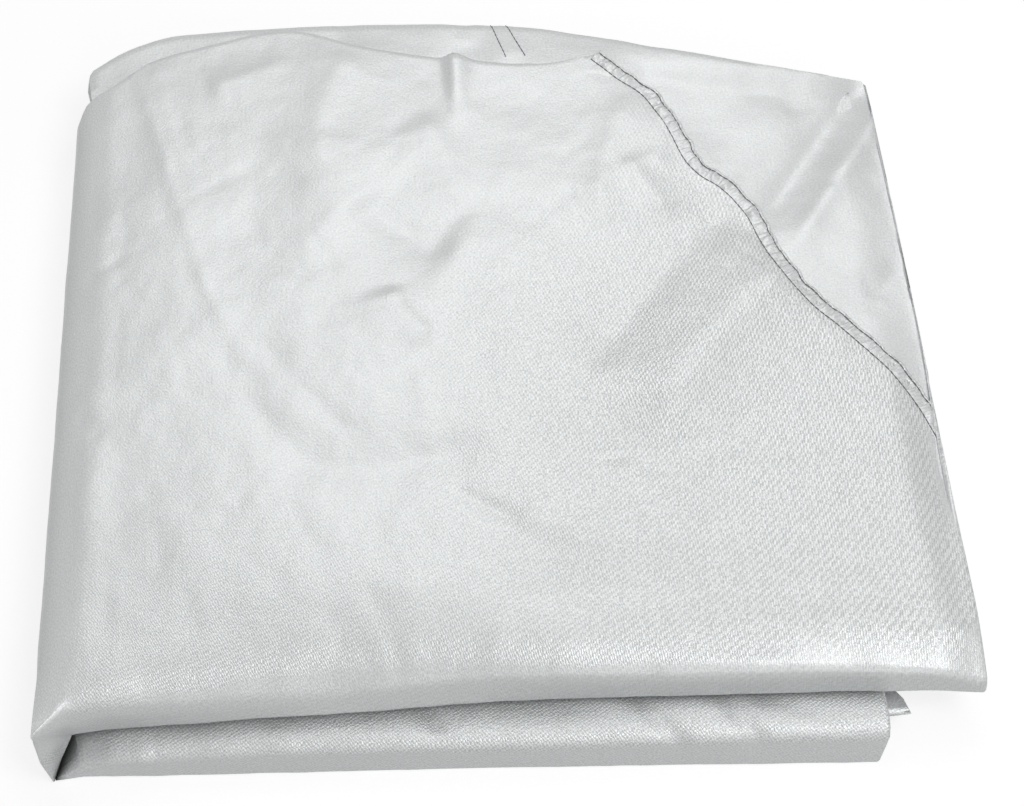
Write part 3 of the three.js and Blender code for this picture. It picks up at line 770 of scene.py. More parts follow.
def crease_relief(row, x, y):
    line = crease_points(row)
    reach = CREASE_REACH * max(row["left"], row["right"])
    low, high = line.min(0) - reach, line.max(0) + reach
    near = np.flatnonzero((x > low[0]) & (x < high[0]) & (y > low[1]) & (y < high[1]))
    relief = np.zeros(len(x))
    if not len(near):
        return relief
    points = np.stack([x[near], y[near]], 1)
    nearest = np.full(len(near), np.inf)
    signed = np.zeros(len(near))
    along = np.zeros(len(near))
    for i in range(CREASE_STEPS):
        start, side = line[i], line[i + 1] - line[i]
        offset = points - start
        t = np.clip(offset @ side / (side @ side), 0, 1)
        gap = offset - t[:, None] * side
        distance = np.hypot(gap[:, 0], gap[:, 1])
        closer = distance < nearest
        across = side[0] * offset[:, 1] - side[1] * offset[:, 0]
        nearest = np.where(closer, distance, nearest)
        signed = np.where(closer, np.sign(across), signed)
        along = np.where(closer, (i + t) / CREASE_STEPS, along)
    width = np.where(signed > 0, row["left"], row["right"])
    fade = eased(along / CREASE_FADE) * eased((1 - along) / CREASE_FADE)
    core = np.maximum(CREASE_CORE, CREASE_ROUND["share"] * width - CREASE_ROUND["less"])
    away = np.hypot(nearest, core) - core
    relief[near] = row["height"] * np.exp(-away / width) * fade
    return relief


def back_of_top(x):
    """Where the upper face ends, for an array of x."""
    return np.interp(x, [row["x"] for row in TOP_BACK], [row["y"] for row in TOP_BACK])


def pleat_relief(x, y):
    rise = eased((y - PLEAT["foot"]) / (back_of_top(x) - PLEAT["foot"]))
    width = np.where(x < PLEAT["x"], PLEAT["left"], PLEAT["right"])
    return PLEAT["height"] * rise * np.exp(-(((x - PLEAT["x"]) / width) ** 2))


def unevenness(x, y, seed):
    """Slow waves and small dents, as thin cloth has. The same for the same place."""
    slow, fine = sizes().wave_height / MM, sizes().dent_height / MM
    shift = Vector((0, 0, FACE_SHIFT * seed))

    def height(a, b):
        return sum(
            (row["wave"] * slow + row["dent"] * fine)
            * noise.noise(Vector((a / row["reach_x"], b / row["reach_y"], row["level"])) + shift)
            for row in WAVES
        )

    return np.array([height(a, b) for a, b in zip(x.tolist(), y.tolist())])


def add_bulges(values, rows, x, y):
    """Adds soft round bulges, each with its height in the middle and little beyond its reach."""
    for row in rows:
        square = ((x - row["x"]) / row["reach_x"]) ** 2 + ((y - row["y"]) / row["reach_y"]) ** 2
        values += row["height"] * np.exp(-square)


def relief_on(face, x, y):
    relief = unevenness(x, y, FACES.index(face))
    add_bulges(relief, SWELLS[face], x, y)
    for row in CREASES[face]:
        relief += crease_relief(row, x, y)
    if face == "top":
        relief += pleat_relief(x, y)
        droop = eased((y - back_of_top(x) + HEM_DROOP["over"]) / HEM_DROOP["over"])
        relief -= HEM_DROOP["by"] * droop * eased((x - HEM_START) / HEM_DROOP["widens"])
    return relief


def relief_share(column):
    """The relief dies out where one face goes over into the next: round the spine and in the
    middle of each turn."""
    turned = abs(1 - 2 * (column["layer"] % 1))
    return ease(min(abs(column["step"] - SPINE_SIDE), 1) if "step" in column else turned)


def face_of(column):
    """Which face's relief a column has, and which side of the sheet is out: 1 or -1."""
    layer = column["layer"]
    if column["half"] == "top":
        return ("top", 1) if layer < 0.5 else ("second", -1) if layer < 1.5 else ("inside", 1)
    return ("low", 1) if layer < 0.5 else ("inside", -1) if layer < 1.5 else ("inside", 1)


# ---- The sheet as a mesh --------

# How clearly the weave stands out, from 0 to 1.
WEAVE = {"walls": 0.2, "second": 0.03, "hem": 0.25, "low_front": 0.6, "low_foot": 0.25}
UPPER_PART = {"top": 38, "low": 14}  # the height above which each half has its upper part's weave
# On the upper face it grows across the bundle from the back left to the front right. It is
# weaker in two patches and round the spine.
WEAVE_SPREAD = {"from": 0.08, "by": 0.6, "y_share": 1.1, "start": 130, "over": 240, "least": 0.05}
WEAVE_PATCHES = table(
    "x y reach_x reach_y height", (-50, -80, 60, 70, -0.4), (-20, -165, 110, 60, -0.2)
)
WEAVE_AT_SPINE = {"x": -185, "over": 10, "less": 0.7}


def new_mesh(name, points, faces):
    mesh = bpy.data.meshes.new(name)
    mesh.from_pydata(points, [], faces)
    mesh.update()
    return mesh


def zip_runs(first, second, flat):
    """Faces between two runs of vertex numbers: quads where the runs are alike. Where one has
    more rows than the other, triangles that go on to whichever next row is nearer the back."""
    if len(first) == len(second):
        return [
            (first[i], second[i], second[i + 1], first[i + 1]) for i in range(len(first) - 1)
        ]
    faces = []
    i = j = 0
    a, b = len(first) - 1, len(second) - 1
    while i < a or j < b:
        if j == b or (i < a and flat[first[i + 1]][1] >= flat[second[j + 1]][1]):
            faces.append((first[i], second[j], first[i + 1]))
            i += 1
        else:
            faces.append((first[i], second[j], second[j + 1]))
            j += 1
    return faces


def sheet_mesh(name):
    """The sheet without thickness, with its relief, its flat coordinates and its weave."""
    points, flat, faces, numbers = [], [], [], []
    face_index, sides, steady, steps = [], [], [], []
    along = middle_along = 0.0
    before = None
    for column in sheet_columns():
        runs = column_runs(column)
        middle = Vector(runs[1][0][:3])
        along += (middle - before).length if before is not None else 0.0
        before = middle
        face, side = face_of(column)
        if face == "top" and middle.x >= 0:
            middle_along = along
        own = []
        for run in runs:
            first = len(points)
            points.extend(point[:3] for point in run)
            flat.extend((along, point[3]) for point in run)
            own.append(list(range(first, len(points))))
            face_index.extend([FACES.index(face)] * len(run))
            sides.extend([side] * len(run))
            steady.extend([relief_share(column)] * len(run))
            steps.extend([column.get("step", 0)] * len(run))
        numbers.append([own[0] + own[1][:1], own[1], [own[1][-1], *own[2]]])
    for left, right in zip(numbers, numbers[1:]):
        for first, second in zip(left, right):
            faces.extend(zip_runs(first, second, flat))

    mesh = new_mesh(name, points, faces)
    place, flat = np.array(points), np.array(flat)
    face_index, sides = np.array(face_index), np.array(sides)
    flat[:, 0] = middle_along - flat[:, 0]
    normals = np.zeros(len(points) * 3)
    mesh.vertices.foreach_get("normal", normals)
    normals = normals.reshape(-1, 3)
    normals *= outward_sign(place, normals, face_index)
    relief = np.zeros(len(points))
    for index, face in enumerate(FACES[:-1]):
        chosen = face_index == index
        relief[chosen] = relief_on(face, place[chosen, 0], flat[chosen, 1])
    relief *= steady
    relief[place[:, 2] < low_base() + RESTING_WITHIN] = 0
    relief += tongue_crinkle(place)
    place += normals * (relief * sides)[:, None]
    place[:, 2] = np.maximum(place[:, 2], low_base())
    mesh.vertices.foreach_set("co", (place * MM).ravel())
    mesh.update()
    write_flat(mesh, flat * MM)
    write_weave(mesh, place, face_index)
    # Painted shade: how dark the cloth is painted in the hollow behind the spine's flat triangle.
    write_hollow(mesh, place, np.array(steps))
    write_pull(mesh, flat)
    return mesh


def outward_sign(place, normals, face_index):
    """1 or -1, so that the upper face's normals point up."""
    top = (face_index == FACES.index("top")) & (place[:, 2] > TOP_CROWN - 1)
    return 1.0 if normals[top, 2].mean() > 0 else -1.0


def tongue_crinkle(place):
    x, y, z = place.T
    size, at = CRINKLE, CRINKLE_PLACE
    on = eased((x - at["x"]) / at["x_over"]) * eased((at["y"] - y) / at["y_over"])
    on = on * (z > at["z"][0]) * (z < at["z"][1])
    slanted = y + size["slant"] * (x - size["slant_from"])
    return size["height"] * on * np.sin(2 * math.pi * slanted / size["pitch"])


def write_flat(mesh, flat):
    """The flat place of each point of the cloth, in metres, as its UV map."""
    layer = mesh.uv_layers.new(name="flat")
    corners = np.zeros(len(mesh.loops), int)
    mesh.loops.foreach_get("vertex_index", corners)
    layer.data.foreach_set("uv", flat[corners].ravel())


def write_weave(mesh, place, face_index):
    """How clearly the weave stands out: full where the cloth is drawn flat, weaker where it is
    loose or seen on its other side."""
    x, y, z = place.T
    top, second, low = (face_index == FACES.index(face) for face in ("top", "second", "low"))
    size, spine = WEAVE_SPREAD, WEAVE_AT_SPINE
    across = x - size["y_share"] * y + size["start"]
    spread = size["from"] + size["by"] * eased(across / size["over"])
    add_bulges(spread, WEAVE_PATCHES, x, y)
    spread = np.where(z > UPPER_PART["top"], np.maximum(spread, size["least"]), WEAVE["walls"])
    spread *= 1 - spine["less"] * eased((spine["x"] - x) / spine["over"])
    clear = np.full(len(place), WEAVE["walls"])
    clear[top] = spread[top]
    clear[low] = np.where(z > UPPER_PART["low"], WEAVE["low_front"], WEAVE["low_foot"])[low]
    clear[second] = WEAVE["second"]
    write_values(mesh, "weave", clear)


def write_hollow(mesh, place, steps):
    """Painted shade in the hollow behind the spine's flat triangle: how dark each point is
    painted, from
    0 to 1. The painted shade is narrow at the toe and opens towards the top half's foot."""
    x, y, _ = place.T
    size = HOLLOW
    open_by = np.clip((y - size["toe"]) / size["depth"], 0, HOLLOW_ENDS["widest"])
    away = np.maximum(x - size["left"], 0) / lerp(size["at_toe"], size["at_foot"], open_by)
    painted_shade = np.exp(-(away**2)) * (y < size["toe"] + HOLLOW_ENDS["back"] * size["depth"])
    write_values(mesh, "hollow", painted_shade * (steps > SPINE_TOE))


def write_values(mesh, name, values):
    attribute = mesh.attributes.new(name, "FLOAT", "POINT")
    attribute.data.foreach_set("value", np.asarray(values, np.float32))


def write_pull(mesh, flat):
    """How far the cloth is drawn off square, which fans its ribs out. Past the spine it stays."""
    along = np.clip(flat[:, 0], TOP_LEFT, TOP_RIGHT)
    write_values(mesh, "pull", along * flat[:, 1] * MM * MM)


# ---- Hem and stitching --------

# The hem's inner row of stitches, from the back to the right edge.
HEM_LINE = table(
    "x y",
    (64, 172), (76, 158), (88, 146), (95, 132), (101, 116), (106, 100), (113, 89), (121, 82),
    (128, 73), (134, 61), (138, 45), (142, 32), (148, 18), (158, 3), (168, -8), (180, -23),
    (191, -38), (200, -54), (204.5, -65), (208.5, -76),
)

# Section of the hem: u is the distance outward from the inner row of stitches and rise is the
# height over the sheet. The rows of stitches draw it in at u = 0 and at the gauge.
HEM_SECTION = table(
    "u rise puff",
    (-1.4, -0.5, 0), (-0.7, -0.05, 0), (0.0, -0.02, 0), (0.8, 0.2, 0.3), (1.8, 0.34, 0.8),
    (3.2, 0.38, 1), (4.6, 0.34, 0.8), (5.6, 0.18, 0.4), (6.4, -0.1, 0.2), (6.9, 0.12, 0.6),
    (7.4, 0.16, 0.9), (7.8, -0.02, 0.9), (8.1, -0.3, 0.6), (8.1, -0.7, 0.3), (7.7, -1.1, 0),
    (6.4, -1.2, 0), (3.2, -1.2, 0), (0.0, -1.15, 0), (-1.4, -0.95, 0),
)
HEM_STEP = 0.7
HEM_SMOOTHED = 9  # the hem's height is the mean over this many steps
HEM_BEYOND = 1.2  # how far past HEM_PLACES its slope goes on
# Puckers: folds at an even pitch that wander with a slow wave, and the edge's wobble.
HEM_PUCKER = {"pitch": 5.2, "height": 0.95, "wander": 12.0, "by": 6, "fold": 0.45, "wave": 1.5}
HEM_WOBBLE = {"by": 1.3, "pitch": 9, "full_at": 6.4}
PUCKER_LEVEL = 4  # their places in the noise
WOBBLE_LEVEL = 8
HEM_WRAP = {"from": 205.2, "reach": 3.4}  # the hem goes down round the right edge beyond this
HEM_PLACES = (-1.0, 3.0)  # where the hem takes its height from the sheet, out from its inner row

# Rows of stitches on the strip of the second layer that shows at the back, in plan.
SEAM_ROWS = (
    table("x y", (11.5, 208), (12.6, 202), (15.6, 190), (19.5, 175)),
    table("x y", (19, 207), (20.6, 202), (25, 189), (30.5, 174)),
)

# A stitch: t runs along it from -1 to 1; it dips into the cloth at both ends.
STITCH_RINGS = table(
    "t size lift", (-1, 0.6, -0.3), (-0.8, 0.9, 0.1), (0, 1, 0.4), (0.8, 0.9, 0.1), (1, 0.6, -0.3)
)
STITCH_SIDES = 6
STITCH_AHEAD = 0.5  # how far ahead a stitch looks for its direction
HEM_STITCH_LIFT = 0.1  # of the thread's middle over the cloth
SEAM_STITCH_LIFT = 0.05
SEAM_STEP = 1.0
LINE_STEPS = 24  # of a smooth curve between two of its points
ABOVE = 0.1  # metres: a height above the whole bundle


def rounded_line(rows, step):
    """Points at an even step along a smooth curve through a table's x and y, with its length."""
    knots = [np.array([row["x"], row["y"]], float) for row in rows]
    padded = [2 * knots[0] - knots[1], *knots, 2 * knots[-1] - knots[-2]]
    fine = [
        round_curve(*padded[i : i + 4], t)
        for i in range(len(knots) - 1)
        for t in np.linspace(0, 1, LINE_STEPS, endpoint=False)
    ]
    fine = np.array([*fine, knots[-1]])
    lengths = np.concatenate([[0], np.cumsum(np.hypot(*np.diff(fine, axis=0).T))])
    count = max(int(round(lengths[-1] / step)), 2)
    at = np.linspace(0, lengths[-1], count + 1)
    return np.stack([np.interp(at, lengths, fine[:, k]) for k in (0, 1)], 1), at


def surface_below(tree, x, y, fallback):
    """Height of the sheet's upper side at a place, in millimetres."""
    hit = tree.ray_cast(Vector((x * MM, y * MM, ABOVE)), Vector((0, 0, -1)))
    return hit[0].z / MM if hit[0] is not None else fallback


def sheet_tree():
    return BVHTree.FromObject(bpy.data.objects[SHEET], bpy.context.evaluated_depsgraph_get())


def hem_frames():
    """The hem's inner row of stitches on the sheet: its points, its directions and its length."""
    plan, at = rounded_line(HEM_LINE, HEM_STEP)
    tree = sheet_tree()
    ahead = np.gradient(plan, axis=0)
    ahead /= np.linalg.norm(ahead, axis=1)[:, None]
    out = np.stack([-ahead[:, 1], ahead[:, 0]], 1)
    if out[0, 0] < 0:
        out = -out
    heights = []
    for u in HEM_PLACES:
        row = []
        for x, y in np.minimum(plan + out * u, (HEM_WRAP["from"], math.inf)):
            row.append(surface_below(tree, x, y, row[-1] if row else TOP_CROWN))
        padded = np.pad(row, HEM_SMOOTHED // 2, mode="edge")
        heights.append(np.convolve(padded, np.ones(HEM_SMOOTHED) / HEM_SMOOTHED, mode="valid"))
    return plan, out, np.stack(heights, 1), at


def hem_point(plan, out, height, at, i, u, rise, puff):
    """A point of the hem, u millimetres out from its inner row of stitches."""
    size, edge, (near, far) = HEM_PUCKER, HEM_WOBBLE, HEM_PLACES
    wave = noise.noise(Vector((at[i] / size["pitch"], u / size["wander"], PUCKER_LEVEL)))
    fold = math.sin(2 * math.pi * at[i] / size["pitch"] + size["by"] * wave)
    lift = size["height"] * puff * (size["fold"] * fold + size["wave"] * wave)
    wobble = edge["by"] * noise.noise(Vector((at[i] / edge["pitch"], WOBBLE_LEVEL, 0)))
    x, y = plan[i] + out[i] * (u + wobble * max(u, 0) / edge["full_at"])
    slope = min((u - near) / (far - near), HEM_BEYOND)
    z = lerp(height[i, 0], height[i, 1], slope) + rise + lift
    over = max(x - HEM_WRAP["from"], 0)
    bent = HEM_WRAP["reach"] * math.tanh(over / HEM_WRAP["reach"])
    return x - over + bent, y, z - (over - bent)


def hem_mesh(name):
    plan, out, height, at = hem_frames()
    count = len(HEM_SECTION)
    points, flat = [], []
    for i in range(len(plan)):
        for row in HEM_SECTION:
            points.append(hem_point(plan, out, height, at, i, row["u"], row["rise"], row["puff"]))
            flat.append((at[i], row["u"]))
    faces = []
    for i in range(len(plan) - 1):
        for j in range(count):
            k = (j + 1) % count
            faces.append((i * count + j, (i + 1) * count + j, (i + 1) * count + k, i * count + k))
    faces.append(tuple(range(count)))
    faces.append(tuple((len(plan) - 1) * count + j for j in range(count))[::-1])
    mesh = new_mesh(name, (np.array(points) * MM).tolist(), faces)
    write_flat(mesh, np.array(flat) * MM)
    write_values(mesh, "weave", np.full(len(points), WEAVE["hem"]))
    write_pull(mesh, np.array(flat))
    return mesh


def in_order(mesh):
    """A mesh's points and faces in an order that depends on their places only."""
    order = sorted(mesh.vertices, key=lambda vertex: [round(c, 4) for c in vertex.co.zyx])
    number = {vertex.index: i for i, vertex in enumerate(order)}
    faces = []
    for face in mesh.polygons:
        corners = [number[i] for i in face.vertices]
        first = corners.index(min(corners))
        faces.append((*corners[first:], *corners[:first]))
    return [tuple(vertex.co) for vertex in order], sorted(faces)


def one_stitch():
    """A stitch as it lies along Z from -1 to 1, drawn from a disc ring by ring: its points and its
    faces. X is across the row, and Y is up out of the cloth."""
    bpy.ops.object.select_all(action="DESELECT")
    first = STITCH_RINGS[0]
    bpy.ops.mesh.primitive_circle_add(
        vertices=STITCH_SIDES, radius=first["size"], fill_type="NGON", location=(0, 0, 0)
    )
    stitch = bpy.context.object
    bpy.ops.object.mode_set(mode="EDIT")
    bpy.ops.mesh.select_all(action="SELECT")
    bpy.ops.transform.translate(value=(0, first["lift"], first["t"]))
    for before, ring in zip(STITCH_RINGS, STITCH_RINGS[1:]):
        step = (0, ring["lift"] - before["lift"], ring["t"] - before["t"])
        bpy.ops.mesh.extrude_region_move(TRANSFORM_OT_translate={"value": step})
        grown = ring["size"] / before["size"]
        middle = (0, ring["lift"], ring["t"])
        bpy.ops.transform.resize(value=(grown, grown, 1), center_override=middle)
    bpy.ops.mesh.select_all(action="SELECT")
    bpy.ops.mesh.normals_make_consistent(inside=False)
    bpy.ops.object.mode_set(mode="OBJECT")
    mesh = stitch.data
    points_and_faces = in_order(mesh)
    bpy.data.objects.remove(stitch)
    bpy.data.meshes.remove(mesh)
    return points_and_faces


def stitch_mesh(name, rows_of_points):
    """Copies of the stitch along each row of points. A row is a list of places in millimetres and
    the length of the row at each."""
    size = sizes()
    length, gap = size.stitch_length / MM, size.stitch_gap / MM
    radius = size.thread_thickness / MM / 2
    shape, sides = one_stitch()
    points, faces = [], []
    for row, at in rows_of_points:
        start = gap
        while start + length < at[-1]:
            faces.extend(tuple(len(points) + corner for corner in face) for face in sides)
            for across_by, up_by, t in shape:
                place = start + length * (t + 1) / 2
                middle = Vector([np.interp(place, at, row[:, k]) for k in range(3)])
                nearby = Vector([np.interp(place + STITCH_AHEAD, at, row[:, k]) for k in range(3)])
                ahead = (nearby - middle).normalized()
                across = Vector((0, 0, 1)).cross(ahead).normalized()
                up = ahead.cross(across)
                points.append(middle + (across * across_by + up * up_by) * radius)
            start += length + gap
    return new_mesh(name, [tuple(p * MM) for p in points], faces)


def hem_rows():
    plan, out, height, at = hem_frames()
    rows = []
    for u in (0.0, sizes().stitch_gauge / MM):
        lift = HEM_STITCH_LIFT
        row = [hem_point(plan, out, height, at, i, u, lift, 0) for i in range(len(plan))]
        rows.append((np.array(row), at))
    return rows


def seam_rows():
    tree = sheet_tree()
    rows = []
    for stitches in SEAM_ROWS:
        plan, at = rounded_line(stitches, SEAM_STEP)
        heights = [surface_below(tree, x, y, None) for x, y in plan]
        kept = [i for i, z in enumerate(heights) if z is not None]
        row = np.array([(plan[i, 0], plan[i, 1], heights[i] + SEAM_STITCH_LIFT) for i in kept])
        steps = np.linalg.norm(np.diff(row, axis=0), axis=1)
        rows.append((row, np.concatenate([[0], np.cumsum(steps)])))
    return rows


# ---- Materials --------

# The two sets of ribs in the weave: how many there are in a metre along the cloth and across it,
# how they fan out where the cloth is drawn off square, how far they drift, and their strength.
RIBS = table(
    "along across fan drift share",
    (600, 265, -1500, 5.0, 1.0),
    (-385, 385, -1000, 3.0, 0.9),
)
RIB_BREAKS = 9  # how far the ribs are broken up
DRIFT = {"Scale": 12, "Detail": 2}
BREAKS = {"Scale": 560, "Detail": 1}
GRAIN = {"Scale": 900, "Detail": 2}
GRAIN_HEIGHT = 2.2  # beside a rib's height of 1
CRUMPLE = {"Scale": 90, "Detail": 5, "Roughness": 0.6}
RIB_BUMP = 0.5
CRUMPLE_BUMP = {"Strength": 0.22, "Distance": 0.0012}
CLOTH_TONES = {"From Min": -0.8, "From Max": 3.0}  # the grained weave's lowest and highest tone
# Near-black painted shade for the cloth in the hollow behind the spine's flat triangle.
HOLLOW_SHADE_COLOUR = (0.02, 0.021, 0.022, 1)
CLOTH_SHADER = {
    "Roughness": 0.38,
    "Metallic": 0.35,
    "Specular IOR Level": 0.5,
    "Sheen Weight": 0.1,
    "Sheen Roughness": 0.4,
}
TWIST = {"Scale": 1500}
TWIST_SHADE = 0.7  # the thread's dark tone beside its colour
TWIST_BUMP = {"Strength": 0.4, "Distance": 0.0001}
THREAD_ROUGHNESS = 0.7


def feed(tree, node, inputs):
    """Sets a node's inputs, each to a value or to what comes out of another node."""
    for name, value in inputs.items():
        if isinstance(value, bpy.types.NodeSocket):
            tree.links.new(value, node.inputs[name])
        else:
            node.inputs[name].default_value = value


def add_node(tree, kind, inputs, **settings):
    """Adds a shader node with its settings and inputs, and returns its outputs."""
    node = tree.nodes.new("ShaderNode" + kind)
    for name, value in settings.items():
        setattr(node, name, value)
    feed(tree, node, inputs)
    return node.outputs


def new_material(name):
    material = bpy.data.materials.new(name)
    material.use_nodes = True
    tree = material.node_tree
    return material, tree, tree.nodes["Principled BSDF"]


def maths(tree, operation, *values):
    return add_node(tree, "Math", dict(enumerate(values)), operation=operation)[0]


def point_value(tree, name):
    return add_node(tree, "Attribute", {}, attribute_name=name)["Fac"]


def noise_at(tree, place, settings):
    return add_node(tree, "TexNoise", {"Vector": place, **settings})["Fac"]


def mixed(tree, share, a, b):
    """Colour b laid over colour a."""
    inputs = {"Factor": share, "A": a, "B": b}
    return add_node(tree, "Mix", inputs, data_type="RGBA")["Result"]


def rib_height(tree, flat):
    """The height of both sets of ribs, which runs from -1.9 to 1.9."""
    split = add_node(tree, "SeparateXYZ", {"Vector": flat})
    drift, breaks = noise_at(tree, flat, DRIFT), noise_at(tree, flat, BREAKS)
    pull = point_value(tree, "pull")
    height = 0.0
    for rib in RIBS:
        swing = maths(tree, "MULTIPLY", breaks, RIB_BREAKS)
        swing = maths(tree, "MULTIPLY_ADD", drift, rib["drift"], swing)
        for source, count in ((split["X"], "along"), (split["Y"], "across"), (pull, "fan")):
            swing = maths(tree, "MULTIPLY_ADD", source, 2 * math.pi * rib[count], swing)
        height = maths(tree, "MULTIPLY_ADD", maths(tree, "SINE", swing), rib["share"], height)
    return height


def silver_cloth():
    """Silver-coated twill: a fine diagonal rib with broken ends, a satin sheen and a crumple, with
    shade painted near black in the hollow at the spine.
    """
    size = sizes()
    material, tree, shader = new_material("silver_cloth")
    flat = add_node(tree, "UVMap", {}, uv_map="flat")["UV"]
    weave = maths(tree, "MULTIPLY", rib_height(tree, flat), point_value(tree, "weave"))
    grained = maths(tree, "MULTIPLY_ADD", noise_at(tree, flat, GRAIN), GRAIN_HEIGHT, weave)
    ribs = {"Height": grained, "Strength": RIB_BUMP, "Distance": size.weave_depth}
    crumple = {
        "Height": noise_at(tree, flat, CRUMPLE),
        "Normal": add_node(tree, "Bump", ribs)["Normal"],
        **CRUMPLE_BUMP,
    }
    tone = add_node(tree, "MapRange", {"Value": grained, **CLOTH_TONES})["Result"]
    colour = mixed(tree, tone, (*size.cloth_shade, 1), (*size.cloth_colour, 1))
    # Painted shade: the hollow attribute paints the cloth near black behind the spine's flat
    # triangle.
    colour = mixed(tree, point_value(tree, "hollow"), colour, HOLLOW_SHADE_COLOUR)
    bumps = add_node(tree, "Bump", crumple)["Normal"]
    feed(tree, shader, {"Base Color": colour, "Normal": bumps, **CLOTH_SHADER})
    return material


def grey_thread():
    """Grey polyester thread with its twist."""
    size = sizes()
    material, tree, shader = new_material("grey_thread")
    place = add_node(tree, "TexCoord", {})["Object"]
    twist = noise_at(tree, place, TWIST)
    dark = [TWIST_SHADE * c for c in size.thread_colour]
    colour = mixed(tree, twist, (*dark, 1), (*size.thread_colour, 1))
    bumps = add_node(tree, "Bump", {"Height": twist, **TWIST_BUMP})["Normal"]
    feed(tree, shader, {"Base Color": colour, "Normal": bumps, "Roughness": THREAD_ROUGHNESS})
    return material


def shared_material(make):
    """The material with its maker's name, made when it is first asked for."""
    return bpy.data.materials.get(make.__name__) or make()


# ---- Stage --------

CAMERA = {
    "place": (-0.0231, -0.546, 0.819),
    "down": math.radians(57),  # how far it looks down
    "turn": math.radians(3.6),  # and how far it turns from +Y towards +X
    "lens": 68.84,
    "sensor": 36,
    "clip": (0.01, 20),
}


def add_camera():
    down, turn = CAMERA["down"], CAMERA["turn"]
    level = Vector((math.sin(turn), math.cos(turn), 0))
    ahead = level * math.cos(down) - Vector((0, 0, math.sin(down)))
    right = Vector((math.cos(turn), -math.sin(turn), 0))
    up = right.cross(ahead)
    data = bpy.data.cameras.new("camera")
    data.lens, data.sensor_width = CAMERA["lens"], CAMERA["sensor"]
    data.clip_start, data.clip_end = CAMERA["clip"]
    camera = bpy.data.objects.new("camera", data)
    bpy.context.scene.collection.objects.link(camera)
    camera.matrix_world = Matrix((right, up, -ahead)).transposed().to_4x4()
    camera.location = CAMERA["place"]
    bpy.context.scene.camera = camera


# The lamps all point at the middle of the bundle's place on the floor.
LAMPS = table(
    "name place size power",
    ("back", (0.0, 0.88, 1.4), 0.75, 3.75),
    ("back_right", (0.62, 1.15, 1.4), 0.5, 1.3),
    ("side", (0.6, -0.5, 1.4), 0.6, 5.4),
    ("overhead", (0.4, 0.15, 1.5), 0.6, 1.1),
    ("front", (0.3, -1.3, 0.9), 0.6, 1.6),
)


def add_lamps():
    for row in LAMPS:
        data = bpy.data.lights.new(row["name"], "AREA")
        data.size = row["size"]
        data.energy = row["power"]
        lamp = bpy.data.objects.new(row["name"], data)
        bpy.context.scene.collection.objects.link(lamp)
        lamp.location = row["place"]
        lamp.rotation_euler = Vector(row["place"]).to_track_quat("Z", "Y").to_euler()


def seen_white(tree, dim, white):
    """A shader that is white where it is seen, straight or in a reflection, and dim for the
    rest."""
    path = add_node(tree, "LightPath", {})
    seen = maths(tree, "MAXIMUM", path["Is Camera Ray"], path["Is Glossy Ray"])
    seen = maths(tree, "MAXIMUM", seen, path["Is Transmission Ray"])
    return add_node(tree, "MixShader", {"Fac": seen, 1: dim, 2: white})["Shader"]


FLOOR_SIZE = 8
FLOOR_SHADER = {
    "Base Color": (0.62, 0.62, 0.63, 1),
    "Roughness": 0.9,
    "Specular IOR Level": 0.1,
}
FLOOR_LIT = (0.4, 0.4, 0.4, 1)  # what light adds to the floor as it is seen
FLOOR_GLOW = 0.76
WORLD_WHITE = (1, 1, 1, 1)
WORLD_DIM = 0.22


def floor_paper():
    material, tree, shader = new_material("floor_paper")
    feed(tree, shader, FLOOR_SHADER)
    lit = add_node(tree, "BsdfDiffuse", {"Color": FLOOR_LIT})["BSDF"]
    glow = add_node(tree, "Emission", {"Strength": FLOOR_GLOW})["Emission"]
    white = add_node(tree, "AddShader", {0: lit, 1: glow})["Shader"]
    shown = seen_white(tree, shader.outputs["BSDF"], white)
    feed(tree, tree.nodes["Material Output"], {"Surface": shown})
    return material


def add_world():
    world = bpy.data.worlds.new("studio")
    world.use_nodes = True
    tree = world.node_tree
    dim = tree.nodes["Background"]
    feed(tree, dim, {"Color": WORLD_WHITE, "Strength": WORLD_DIM})
    bright = add_node(tree, "Background", {"Color": WORLD_WHITE})["Background"]
    shown = seen_white(tree, dim.outputs["Background"], bright)
    feed(tree, tree.nodes["World Output"], {"Surface": shown})
    bpy.context.scene.world = world


# ---- Operators --------

class RoofCoverSettings(bpy.types.PropertyGroup):
    """Sizes and colours of the folded cover."""

    cloth_thickness: FloatProperty(
        name="Cloth thickness", description="Thickness of the sheet", default=0.0007, unit="LENGTH"
    )
    wave_height: FloatProperty(
        name="Wave height",
        description="Height of the sheet's slow waves",
        default=0.0006,
        unit="LENGTH",
    )
    dent_height: FloatProperty(
        name="Dent height", description="Height of its small dents", default=0.00014, unit="LENGTH"
    )
    weave_depth: FloatProperty(
        name="Weave depth", description="Depth of the ribs", default=0.00012, unit="LENGTH"
    )
    stitch_gauge: FloatProperty(
        name="Stitch gauge",
        description="From one row of stitches to the other",
        default=0.0064,
        unit="LENGTH",
    )
    stitch_length: FloatProperty(
        name="Stitch length", description="Length of a stitch", default=0.0031, unit="LENGTH"
    )
    stitch_gap: FloatProperty(
        name="Stitch gap", description="Gap between two stitches", default=0.00015, unit="LENGTH"
    )
    thread_thickness: FloatProperty(
        name="Thread thickness",
        description="Thickness of the thread",
        default=0.00052,
        unit="LENGTH",
    )
    cloth_colour: FloatVectorProperty(
        name="Cloth colour",
        description="Colour of the raised ribs",
        default=(0.95, 0.965, 0.97),
        subtype="COLOR",
    )
    cloth_shade: FloatVectorProperty(
        name="Cloth shade",
        description="Colour between the ribs",
        default=(0.42, 0.435, 0.435),
        subtype="COLOR",
    )
    thread_colour: FloatVectorProperty(
        name="Thread colour",
        description="Colour of the thread",
        default=(0.2, 0.205, 0.21),
        subtype="COLOR",
    )


